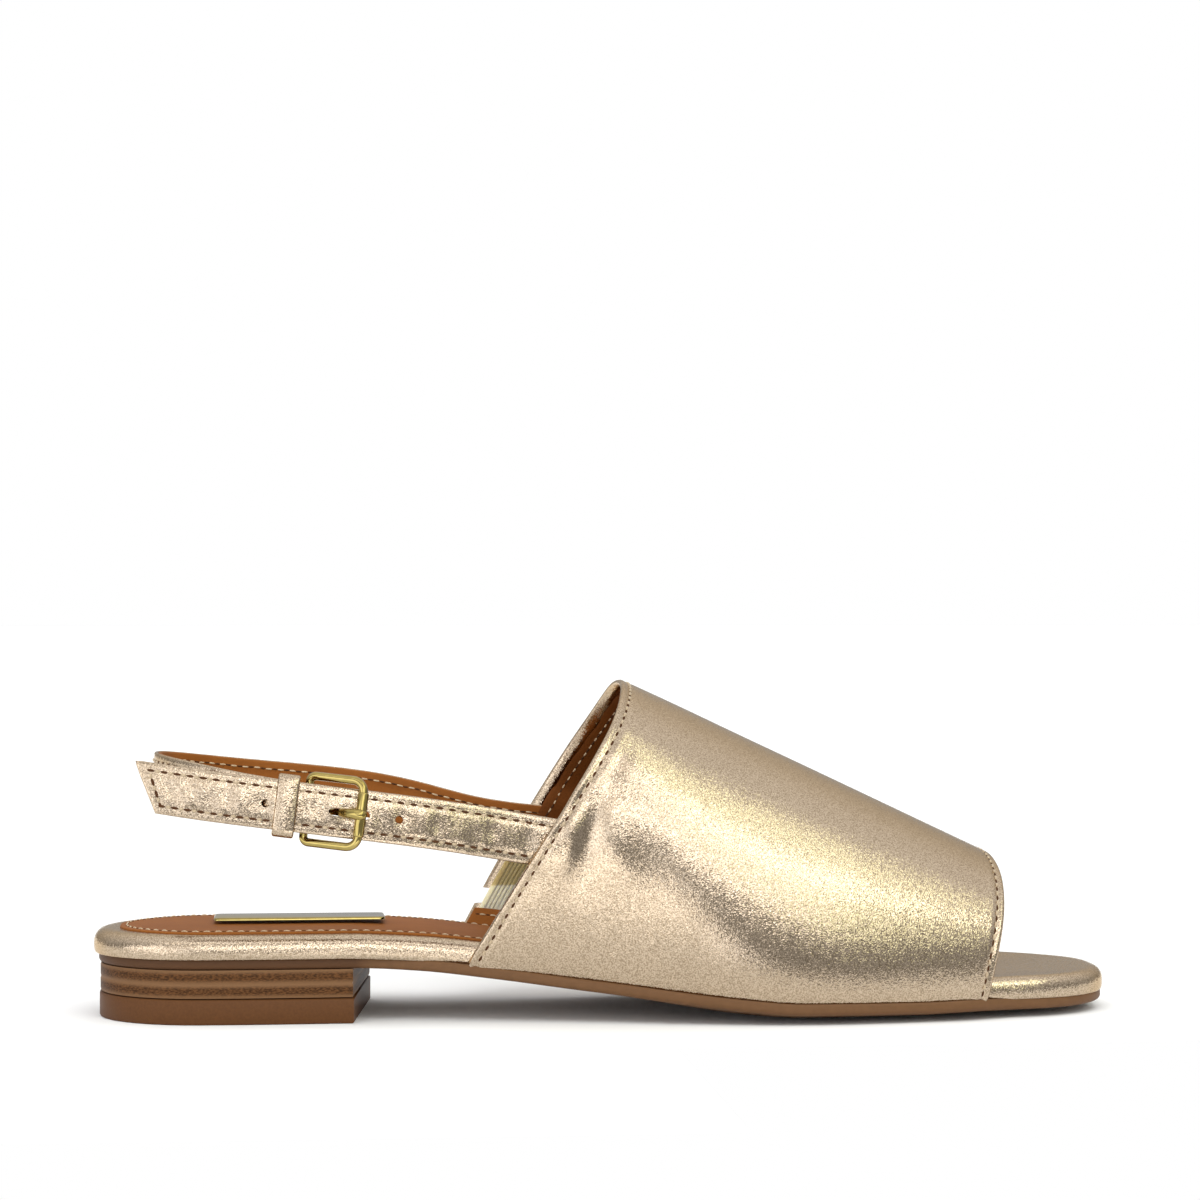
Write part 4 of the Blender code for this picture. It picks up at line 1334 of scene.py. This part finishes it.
    def inner_face(self, depth: float, ragged: bool = False) -> np.ndarray:
        """A face under the leather, which stands off it where the straps' ends are sewn in.

        Args:
            depth: how far it lies under the leather's outside.
            ragged: whether its edges are cut by hand.

        Returns:
            Rows and columns as those of grid.
        """
        grid = self.grid(self.turned, self.lining_runs, ragged)
        room = np.full(grid.shape[:2], depth)
        full, fade, end = self.pocket_over
        for sign, x, z, slope, deep, low in self.pockets:
            ahead = grid[..., 0] - x
            over = grid[..., 2] - z - slope * ahead
            share = soft_step(over, low, full) * (1 - soft_step(over, fade, end))
            share *= soft_step(sign * grid[..., 1], *self.side_fade)
            share *= 1 - soft_step(ahead, *self.pocket_ahead)
            room += deep * share
        return grid + grid_inward(grid) * room[..., None]

    def gore(self) -> None:
        """Make the ribbed elastic inside the vamp, over the slit, and the sewn tab under it."""
        away = np.linspace(0.0, self.gore_length, self.gore_runs)
        grid = self.inner_wall(self.gore_rise, away)
        depth = self.gore_depth + self.rib_high * (1 - np.cos(2 * math.pi * away / self.rib_mm))
        web = rolled_sheet(grid + grid_inward(grid) * depth[None, :, None], self.gore_thick, steps=4)
        add_piece("gore_elastic_web", web, CREAM_ELASTIC, ["elastic_gore"])
        tab = self.inner_wall(self.tab_rise, np.linspace(self.tab_start, self.gore_length, self.tab_runs))
        tab = tab + grid_inward(tab) * self.tab_depth
        add_piece("gore_tab", rolled_sheet(tab, self.lining, steps=4), TAN_LINING)
        face = tab + grid_inward(tab) * self.lining
        seam = Seam("gore_tab_seam", IVORY_THREAD, Slot.LINING, **FINE_STITCH)
        sewn = self.tab_seam_row, slice(2, -2)  # two columns short of both ends
        seam.run(face[sewn], grid_inward(face)[sewn])
        seam.finish()

    def build(self) -> None:
        """Make leather, lining, gore and seams."""
        near = np.array(self.near)
        outer = self.pressed(self.grid(self.edge_thick / 2, self.runs))
        away = np.concatenate((near, np.full(self.runs - 2, near[-1]), near[::-1]))
        fold = 1 - soft_step(away, self.turned - self.turned_fade, self.turned)
        thick = self.leather + (self.edge_thick - self.leather) * fold
        vamp = add_piece("vamp_leather", rolled_sheet(outer, thick), GOLD_FOIL, ["upper"])
        cut_away(vamp, self.slit_wedge())
        inner = self.inner_face(self.leather + self.lining_gap, ragged=True)
        sheet = rolled_sheet(inner, self.lining, steps=4)
        # its darker colour is painted shade inside the opening
        lining = add_piece("vamp_lining", sheet, VAMP_LINING_PAINTED_SHADE)
        cut_away(lining, self.slit_wedge())
        self.gore()

        column = int(np.argmin(np.abs(near + self.edge_thick / 2 - self.seam_in)))
        out = -grid_inward(outer)
        seam = Seam("vamp_seam", GOLD_THREAD, Slot.FOIL)
        for k in (column, -1 - column):
            keep = outer[:, k, 2] > np.minimum(outer[0, k, 2], outer[-1, k, 2]) + self.seam_low
            seam.run(outer[keep, k], out[keep, k])
        seam.finish()
        inside = self.inner_face(self.leather + self.lining_gap + self.lining)
        k = self.lining_seam_column
        keep = inside[:, k, 2] > self.lining_seam_low
        seam = Seam(
            "lining_seam", IVORY_THREAD, Slot.LINING, pitch=2.6, hole_long=1.5, hole_wide=0.5, radius=0.2,
        )
        seam.run(inside[keep, k], grid_inward(inside)[keep, k])
        seam.finish()


# Straps and buckle


def smooth_route(rows: Sequence[Sequence[float]], count: int) -> np.ndarray:
    """Even points along a smooth curve through a route's own points.

    Args:
        rows: the route's points.
        count: how many points to make.

    Returns:
        The points.
    """
    table = np.array(rows, float)
    knots = run_of(table)
    at = np.linspace(0, knots[-1], count)
    return np.column_stack([Curve(knots, table[:, axis]).at(at) for axis in range(3)])


def upright(along: np.ndarray) -> np.ndarray:
    """Width direction of a band on edge: as near to up as its run allows."""
    return unit(UP - along * along[:, 2:3])


def band_grid(
    centres: np.ndarray, up: np.ndarray, out: np.ndarray, width: float, high: np.ndarray,
) -> np.ndarray:
    """Outer face of a strap.

    Args:
        centres: points of its middle line, at the outer face.
        up: width direction at each.
        out: outward direction at each.
        width: full width.
        high: how far each row across stands out, from the lower to the upper edge.

    Returns:
        Rows across, columns along.
    """
    shares = np.linspace(-1, 1, len(high)) * width / 2
    return centres[None] + up[None] * shares[:, None, None] + out[None] * high[:, None, None]


@dataclass
class StrapSet:
    """Both straps, the keeper and the buckle; "along", "up" and "out" are the holed strap's at the buckle."""

    width: float = 12.3
    leather: float = 0.95
    lining: float = 0.7
    lining_gap: float = 0.03
    face_out: float = 0.55
    face_swell: float = 0.28
    seam_in: float = 1.75
    seam_dip: float = 0.2
    seam_dip_share: float = 0.1
    seam_hole: float = 2.0
    lean: Rows = ((14, 60, 95, 121), (5.0, 4.0, 1.0, 0.0))  # x, degrees that the holed strap leans in
    wrinkle_high: float = 0.09
    wrinkles: Rows = ((7.3, 2.5, 0.0), (11.0, -3.0, 1.1), (4.6, 1.2, 2.0))  # length, slant, start
    tip_slant: float = 3.3
    tip_columns: int = 12
    tip_seam: float = 0.85
    hole_pitch: float = 8.05
    hole_radius: float = 1.0
    hole_pull: float = 0.9
    punch_reach: float = 3.0
    lateral_columns: int = 90
    lateral_rows: Rows = (
        (14, -34.1, 58.9), (32, -36.2, 56.3), (50, -37.3, 54.0), (68, -37.5, 51.7),
        (87, -36.2, 49.0), (107, -33.9, 45.5), (121, -35.4, 43.2),
    )

    heel_leather: float = 0.9
    heel_lining: float = 0.8
    heel_lining_in: float = 0.97
    heel_face_out: float = 0.17
    heel_columns: int = 130
    heel_lined: int = 116
    heel_sewn: int = 124
    heel_rows: Rows = (
        (122, 34.9, 43.0), (110, 33.5, 44.2), (96, 33.1, 46.5), (82, 33.4, 50.2), (70, 32.9, 52.8),
        (52, 31.4, 55.1), (36, 27.6, 56.8), (25, 21.6, 58.2), (17.8, 12.4, 59.3), (15.3, 1.0, 59.8),
        (16.2, -9.4, 59.7), (20.2, -19.0, 59.1), (27.0, -26.8, 57.9), (35.5, -32.3, 56.3),
    )
    # along and out: where the heel strap's fold round the back bar starts, and the end that laps behind it
    fold_start: tuple[float, float] = (-9.95, -1.6)
    fold_radius: float = 1.9
    lap_rows: Rows = ((-9.15, -5.2), (-13.45, -4.2), (-20.95, -3.9))

    keeper_along: float = -11.0
    keeper_out: tuple[float, float] = (-6.75, 1.75)  # its inner and its outer wall
    keeper_tall: float = 14.1
    keeper_corner: float = 1.5
    keeper_wide: float = 5.3
    keeper_thick: float = 1.1
    keeper_edge: float = 0.5
    keeper_swell: float = 0.25

    buckle_x: float = 58.8
    front_along: float = 7.15
    front_out: float = 2.3
    front_corner: float = 2.8
    back_along: float = -5.95
    back_out: float = -3.5
    back_corner: float = 1.4
    tall: float = 16.2
    wire: float = 1.035
    roller: float = 1.33
    roller_long: float = 10.8
    # shares of the roller's length and of its radius
    roller_rows: Rows = (
        (-0.5, 0.8), (-0.49, 0.94), (-0.47, 1.0), (0.0, 1.0), (0.47, 1.0), (0.49, 0.94), (0.5, 0.8),
    )
    prong_along: float = 0.3
    # along, out and radius of the prong, from its eye through the hole to its tip
    prong_rows: Rows = (
        (-4.3, -3.5, 0.6), (-2.1, -2.7, 0.75), (-0.2, -2.2, 0.75), (0.5, -1.1, 0.75), (1.5, 0.2, 0.75),
        (2.7, 1.5, 0.9), (4.1, 2.9, 1.05), (6.55, 4.515, 1.1), (8.5, 4.165, 0.95),
    )
    prong_tip: tuple[float, ...] = (0.92, 0.75, 0.4)
    prong_flat: tuple[float, float] = (1.15, 0.9)  # shares of the radius across and outward
    eye_radius: float = 1.66
    eye_wide: float = 2.2
    eye_thick: float = 0.66
    eye_corner: float = 0.25

    def __post_init__(self) -> None:
        """Find the strap's own directions at the buckle."""
        fine = smooth_route(self.lateral_rows, count=400)
        nearest = int(np.argmin(np.abs(fine[:, 0] - self.buckle_x)))
        self.origin = fine[nearest]
        along = unit(np.gradient(fine, axis=0))[nearest]
        up = self.leaning(self.origin[None], along[None])[0]
        self.axes = np.array((along, up, np.cross(along, up)))

    def leaning(self, centres: np.ndarray, along: np.ndarray) -> np.ndarray:
        """Width direction of the holed strap, which leans in at the top.

        Args:
            centres: points of its middle line.
            along: its run at each.

        Returns:
            The direction at each.
        """
        up = upright(along)
        lean = np.tan(np.radians(np.interp(centres[:, 0], *self.lean)))
        return unit(up - np.cross(along, up) * lean[:, None])

    def local(self, points: Sequence[Sequence[float]]) -> np.ndarray:
        """Points given as (along, up, out) at the buckle, put into the shoe."""
        return self.origin + np.atleast_2d(np.asarray(points, float)) @ self.axes

    def face(self, centres: np.ndarray, up: np.ndarray, out: np.ndarray, rows: int = 15) -> np.ndarray:
        """Outer face of a strap, swelling between its seams.

        Args:
            centres: points of its middle line, at the outer face.
            up: width direction at each.
            out: outward direction at each.
            rows: points across.

        Returns:
            Rows across, columns along.
        """
        place = np.linspace(-1, 1, rows)
        seam = 1 - 2 * self.seam_in / self.width
        dip = self.seam_dip * np.exp(-((np.abs(place) - seam) / self.seam_dip_share)**2)
        return band_grid(centres, up, out, self.width - self.leather, self.face_swell * (1 - place**4) - dip)

    def crinkle(self, face: np.ndarray, out: np.ndarray) -> np.ndarray:
        """Soft slanted wrinkles between the seams, from wearing the strap in.

        Args:
            face: the strap's outer face.
            out: outward direction along it.

        Returns:
            The wrinkled face.
        """
        across = np.linspace(-1, 1, len(face))[:, None]
        run = run_of(face[len(face) // 2])[None]
        lift = np.zeros(face.shape[:2])
        for wave, lean, start in self.wrinkles:
            lift += np.sin(2 * math.pi * (run + lean * across) / wave + start)
        lift *= self.wrinkle_high * (1 - across**2)**2
        return face + out[None] * lift[..., None]

    def sew(self, seam: Seam, grid: np.ndarray, out: np.ndarray, columns: slice) -> None:
        """Sew along both edges of a strap.

        Args:
            seam: the row of stitches.
            grid: the strap's face.
            out: outward direction along it.
            columns: the stretch that is sewn.
        """
        share = self.seam_in / self.width * (len(grid) - 1)
        low = int(share)
        part = share - low
        for first, second in ((low, low + 1), (-1 - low, -2 - low)):
            line = grid[first] * (1 - part) + grid[second] * part
            seam.run(line[columns], out[columns])

    def lateral(self) -> None:
        """Make the holed strap with its slanted tip."""
        centres = smooth_route(self.lateral_rows, self.lateral_columns)
        along = unit(np.gradient(centres, axis=0))
        up = self.leaning(centres, along)
        out = np.cross(along, up)
        face = self.face(centres + out * self.face_out, up, out)
        slant = np.linspace(-1, 1, len(face))[:, None, None] * self.tip_slant
        fade = np.clip(1 - np.arange(len(centres)) / self.tip_columns, 0, 1)[None, :, None]
        face = self.crinkle(face - along[None] * (slant * fade - self.leather / 2), out)
        sheet = rolled_sheet(face, self.leather)
        strap = add_piece("strap_leather", sheet, GOLD_FOIL, ["lateral_strap"])
        back = face + grid_inward(face) * (self.leather + self.lining_gap)
        sheet = rolled_sheet(back, self.lining, steps=4)
        lining = add_piece("strap_lining", sheet, TAN_LINING)
        punches = Shape()
        for place in (-2, -1, 0, 1, 2):
            pull = 0.0 if place else self.hole_pull  # the prong draws its own hole long
            x = self.origin[0] + self.prong_along + place * self.hole_pitch + pull
            k = int(np.argmin(np.abs(centres[:, 0] - x)))
            middle = centres[k] + along[k] * (x - centres[k, 0]) / along[k, 0]
            ends = middle + np.outer((self.punch_reach, -self.punch_reach), out[k])
            hole = round_outline(self.hole_radius, self.hole_radius + pull, sides=24)
            punches.join(swept(ends, *(each(part, 2) for part in (up[k], along[k], hole)), closed=False))
        cut_away(strap, punches)
        cut_away(lining, punches)
        seam = Seam("strap_seam", GOLD_THREAD, Slot.FOIL, hole_long=self.seam_hole)
        self.sew(seam, face, out, slice(2, -2))
        tip = face[2:-2, 0] * (1 - self.tip_seam) + face[2:-2, 2] * self.tip_seam
        seam.run(tip, each(out[0], len(tip)))
        seam.finish()

    def heel(self) -> None:
        """Make the strap round the heel, folded over the buckle's back bar."""
        turns = np.linspace(math.pi / 2, -math.pi / 2, num=15)
        bend = np.array((self.back_along, self.back_out))
        bend = bend + self.fold_radius * np.column_stack((np.cos(turns), np.sin(turns)))
        placed = self.local([(a, 0.0, o) for a, o in (self.fold_start, *bend, *self.lap_rows)])
        run = smooth_route([*self.heel_rows, placed[0]], self.heel_columns)
        centres = np.vstack((run, placed[1:]))
        along = unit(np.gradient(centres, axis=0))
        up = upright(along)
        up[len(run) - 1:] = self.axes[1]
        out = unit(np.cross(along, up))
        face = self.crinkle(self.face(centres + out * self.heel_face_out, up, out), out)
        sheet = rolled_sheet(face, self.heel_leather)
        add_piece("heel_strap_leather", sheet, GOLD_FOIL, ["heel_strap"])
        lined = face[:, :self.heel_lined]
        back = lined + grid_inward(lined) * self.heel_lining_in
        sheet = rolled_sheet(back, self.heel_lining, steps=4)
        add_piece("heel_strap_lining", sheet, TAN_LINING)
        seam = Seam("heel_strap_seam", GOLD_THREAD, Slot.FOIL, hole_long=self.seam_hole)
        self.sew(seam, face, out, slice(2, self.heel_sewn))
        seam.finish()
        inner = back + grid_inward(back) * self.heel_lining
        seam = Seam(
            "heel_strap_lining_seam", IVORY_THREAD, Slot.LINING, hole_long=1.6, hole_wide=0.45, radius=0.2,
        )
        self.sew(seam, inner, -out[:self.heel_lined], slice(2, -2))
        seam.finish()

    def keeper(self) -> None:
        """Make the loop that holds the strap's tip."""
        inner, outer = self.keeper_out
        loop = rounded_box_outline(outer - inner, self.keeper_tall, self.keeper_corner, steps=8)
        centres = self.local([(self.keeper_along, up, place + (outer + inner) / 2) for place, up in loop])
        across = each(self.axes[0], len(centres))
        out = unit(np.cross(round_run(centres), across))
        profile = rounded_box_outline(self.keeper_wide, self.keeper_thick, self.keeper_edge, steps=4)
        swell = 1 - (2 * profile[:, 0] / self.keeper_wide)**2
        profile[:, 1] += self.keeper_swell * np.sign(profile[:, 1]) * swell
        shape = swept(centres, across, out, each(profile, len(centres)), closed=True)
        add_piece("keeper_loop", shape, GOLD_FOIL, ["strap_keeper"])

    def buckle_frame(self) -> None:
        """Make the frame: a bent wire with a roller sleeve on its front bar."""
        span, rise = self.front_along - self.back_along, self.front_out - self.back_out
        corners = self.front_corner, self.back_corner
        front, back = (rounded_box_outline(span, self.tall, corner, steps=12) for corner in corners)
        loop = np.where(front[:, :1] > 0, front, back) + ((self.front_along + self.back_along) / 2, 0.0)
        level = self.back_out + rise * (loop[:, 0] - self.back_along) / span
        centres = self.local(np.column_stack((loop, level)))
        along = round_run(centres)
        tilt = self.local([(span, 0.0, rise)])[0] - self.origin
        face = unit(np.cross(tilt, self.axes[1]))
        across = unit(face - along * (along @ face)[:, None])
        wire = each(round_outline(self.wire, self.wire), len(centres))
        shape = swept(centres, across, unit(np.cross(along, across)), wire, closed=True)
        places, radii = np.array(self.roller_rows).T
        centres = self.local([(self.front_along, up, self.front_out) for up in places * self.roller_long])
        sleeve = np.stack([round_outline(r, r, sides=24) for r in radii * self.roller])
        axes = (each(axis, len(centres)) for axis in (self.axes[0], self.axes[2]))
        shape.join(swept(centres, *axes, sleeve, closed=False))
        add_piece("buckle_frame_cast", shape, PALE_BRASS, ["buckle_frame"])

    def buckle_prong(self) -> None:
        """Make the prong and the eye that it turns on."""
        fine = smooth_route(self.prong_rows, count=40)
        centres = self.local([(a, 0.0, o) for a, o, _ in fine])
        up = each(self.axes[1], len(fine))
        out = unit(np.cross(unit(np.gradient(centres, axis=0)), up))
        radii = fine[:, 2].copy()
        radii[-len(self.prong_tip):] *= self.prong_tip
        wide, deep = self.prong_flat
        profiles = np.stack([round_outline(r * wide, r * deep, sides=14) for r in radii])
        shape = swept(centres, up, out, profiles, closed=False)
        ring = (self.back_along, self.back_out) + round_outline(self.eye_radius, self.eye_radius, sides=28)
        centres = self.local([(a, 0.0, o) for a, o in ring])
        up = each(self.axes[1], len(ring))
        eye = rounded_box_outline(self.eye_wide, self.eye_thick, self.eye_corner, steps=3)
        out = unit(np.cross(round_run(centres), up))
        shape.join(swept(centres, up, out, each(eye, len(ring)), closed=True))
        add_piece("buckle_prong_cast", shape, PALE_BRASS, ["buckle_prong"])

    def build(self) -> None:
        """Make straps, keeper and buckle."""
        self.lateral()
        self.heel()
        self.keeper()
        self.buckle_frame()
        self.buckle_prong()


@dataclass
class HeelPlate:
    """Blank gilt plate on the sock."""

    centre: tuple[float, float] = (51.5, 3.5)
    size: tuple[float, float] = (43.0, 13.0)
    corner: float = 1.5
    base: float = 23.3
    profile: Rows = ((0.0, 0.0), (0.0, 0.45), (0.12, 0.62), (0.35, 0.7))  # inset, rise

    def build(self) -> None:
        """Make the plate with a soft edge."""
        long, wide = self.size
        centres = np.array([(*self.centre, self.base + rise) for _, rise in self.profile])
        outlines = np.stack([
            rounded_box_outline(long - 2 * inset, wide - 2 * inset, self.corner, steps=8)
            for inset, _ in self.profile
        ])
        axes = (each(axis, len(centres)) for axis in np.eye(3)[:2])
        plate = swept(centres, *axes, outlines, closed=False)
        add_piece("sock_plate_gilt", plate, PALE_BRASS, ["sock_plate"])


# Studio


@dataclass
class Studio:
    """Floor, light and camera, in metres."""

    camera_place: tuple[float, float, float] = (0.0133, -0.8463, 0.104)
    camera_turn: float = -5.5
    lens: float = 100.0
    sensor: float = 36.0
    floor_colour: str = "F4F4F4"
    floor_rough: float = 0.9
    floor_front: float = -0.2
    floor_toe_front: float = -0.075
    floor_step: float = 0.105
    floor_far: float = 12.0
    below: float = 0.42
    overhead: float = 1.15
    horizon: float = -0.1  # rise of a direction from which the light grows towards overhead

    # Soft boxes: azimuth from the camera's side towards the toe, elevation and roll in degrees, then half
    # width, half height and soft edge as tangents seen from the shoe; brightness and colour
    boxes: tuple[tuple[float | str, ...], ...] = (
        (40.5, 35.4, 56.5, 0.733, 0.05, 0.08, 3.3, "F2FFDA"),
        (16.8, 26.7, 40.6, 0.553, 0.06, 0.12, 3.7, "FAFCFF"),
        (-48.4, -24.2, 31.2, 0.634, 0.9, 0.2, 2.1, "F8FAFF"),
        (-5.0, 17.0, -14.0, 0.5, 0.14, 0.14, 1.25, "FFFFFF"),
        (-15.0, 4.0, 0.0, 0.18, 0.07, 0.07, 1.7, "F0F6FF"),
        (-12.0, 52.0, 0.0, 0.6, 0.04, 0.05, 2.6, "FFFFFF"),
    )
    box_front: float = 0.05  # cosine from a box's axis at which its light is full; behind 0 it gives none
    spot_place: tuple[float, float, float] = (0.07, -0.3, 0.5)
    spot_aim: tuple[float, float, float] = (0.052, -0.145, 0.0)
    spot_cone: float = 12.5
    spot_watts: float = 25.0
    spot_soft: float = 0.03
    sky_strength: float = 0.7
    sky_angle: float = 50.0
    sky_tilt: float = 30.0

    def camera(self) -> None:
        """Level camera from the outer side, as in the photograph."""
        data = bpy.data.cameras.new("camera")
        data.lens = self.lens
        data.sensor_width = self.sensor
        camera = place("camera", data)
        camera.location = self.camera_place
        camera.rotation_euler = (math.pi / 2, 0.0, math.radians(self.camera_turn))
        bpy.context.scene.camera = camera

    def floor(self) -> None:
        """Plain pale paper, cut back in front of the toe so that the foil mirrors less of it there."""
        mesh = bpy.data.meshes.new("floor")
        far, step = self.floor_far, self.floor_step
        front, toe_front = self.floor_front, self.floor_toe_front
        corners = ((-far, front), (step, front), (step, toe_front), (far, toe_front), (far, far), (-far, far))
        mesh.from_pydata([(x, y, 0.0) for x, y in corners], [], [range(len(corners))])
        paper = bpy.data.materials.new("floor_paper_matte_white")
        paper.use_nodes = True
        tree = paper.node_tree
        feed(tree, tree.nodes["Principled BSDF"], {
            "Base Color": linear(self.floor_colour), "Roughness": self.floor_rough, "Specular IOR Level": 0.0,
        })
        mesh.materials.append(paper)
        place("floor", mesh)

    def light(self) -> None:
        """Studio round the shoe: dim near the floor, brighter overhead, soft boxes on the camera's side."""
        world = bpy.data.worlds.new("studio")
        bpy.context.scene.world = world
        world.use_nodes = True
        tree = world.node_tree
        tree.nodes.clear()
        smooth = {"interpolation_type": "SMOOTHSTEP"}
        where = add_node(tree, "ShaderNodeTexCoord").outputs["Generated"]
        rise = add_node(tree, "ShaderNodeSeparateXYZ", {"Vector": where}).outputs["Z"]
        limits = {"Value": rise, "From Min": self.horizon, "To Min": self.below, "To Max": self.overhead}
        level = add_node(tree, "ShaderNodeMapRange", limits, **smooth).outputs["Result"]
        for azimuth, height, roll, wide, tall, soft, bright, colour in self.boxes:
            turn = Euler([math.radians(angle) for angle in (-height, -roll, azimuth)], "YXZ").to_matrix()
            axes = [turn @ Vector(axis) for axis in ((0, -1, 0), (1, 0, 0), (0, 0, 1))]
            ahead, *places = (
                add_node(
                    tree, "ShaderNodeVectorMath", {0: where, 1: axis}, operation="DOT_PRODUCT",
                ).outputs["Value"] for axis in axes
            )
            limits = {"Value": ahead, "From Max": self.box_front, "To Max": bright}
            share = add_node(tree, "ShaderNodeMapRange", limits, **smooth).outputs["Result"]
            for across, half in zip(places, (wide, tall)):
                slope = add_node(tree, "ShaderNodeMath", {0: across, 1: ahead}, operation="DIVIDE").outputs[0]
                size = add_node(tree, "ShaderNodeMath", {0: slope}, operation="ABSOLUTE").outputs[0]
                limits = {"Value": size, "From Min": half + soft, "From Max": half - soft}
                part = add_node(tree, "ShaderNodeMapRange", limits, **smooth).outputs["Result"]
                share = add_node(tree, "ShaderNodeMath", {0: share, 1: part}, operation="MULTIPLY").outputs[0]
            sums = {0: share, 1: linear(colour)[:3], 2: level}
            level = add_node(tree, "ShaderNodeVectorMath", sums, operation="MULTIPLY_ADD").outputs[0]
        light = add_node(tree, "ShaderNodeBackground", {"Color": level, "Strength": 1.0})
        white = add_node(tree, "ShaderNodeBackground", {"Color": (1, 1, 1, 1), "Strength": 1.0})
        seen = add_node(tree, "ShaderNodeLightPath").outputs["Is Camera Ray"]
        mix = add_node(tree, "ShaderNodeMixShader", {0: seen, 1: light.outputs[0], 2: white.outputs[0]})
        add_node(tree, "ShaderNodeOutputWorld", {"Surface": mix.outputs[0]})

    def lamp(self, name: str, kind: str, energy: float) -> bpy.types.Object:
        """A lamp that foil and brass don't mirror.

        Args:
            name: its name.
            kind: its type.
            energy: its watts or strength.

        Returns:
            The lamp.
        """
        data = bpy.data.lights.new(name, kind)
        data.energy = energy
        lamp = place(name, data)
        lamp.visible_glossy = False
        return lamp

    def spot(self) -> None:
        """Soft pool of light on the paper by the waist, which the vamp mirrors under its dark band."""
        lamp = self.lamp("floor_lamp", "SPOT", self.spot_watts)
        lamp.data.spot_size = math.radians(self.spot_cone)
        lamp.data.spot_blend = 1.0
        lamp.data.shadow_soft_size = self.spot_soft
        lamp.location = self.spot_place
        aim = Vector(self.spot_aim) - lamp.location
        lamp.rotation_euler = aim.to_track_quat("-Z", "Y").to_euler()

    def sky(self) -> None:
        """Wide soft lamp overhead for the paper and the matte pieces."""
        lamp = self.lamp("ceiling_lamp", "SUN", self.sky_strength)
        lamp.data.angle = math.radians(self.sky_angle)
        lamp.rotation_euler = (math.radians(self.sky_tilt), 0.0, 0.0)

    def build(self) -> None:
        """Set up the studio."""
        bpy.context.scene.view_settings.view_transform = "Standard"
        self.camera()
        self.floor()
        self.light()
        self.spot()
        self.sky()


def main() -> None:
    """Build the sandal and its studio."""
    logging.basicConfig(level=logging.INFO, format="%(name)s: %(message)s")
    last = Last()
    for part in (Studio(), Sole(last), Heel(last), Upper(last), StrapSet(), HeelPlate()):
        part.build()
        LOG.info("%s built", type(part).__name__)


if __name__ == "__main__":
    main()
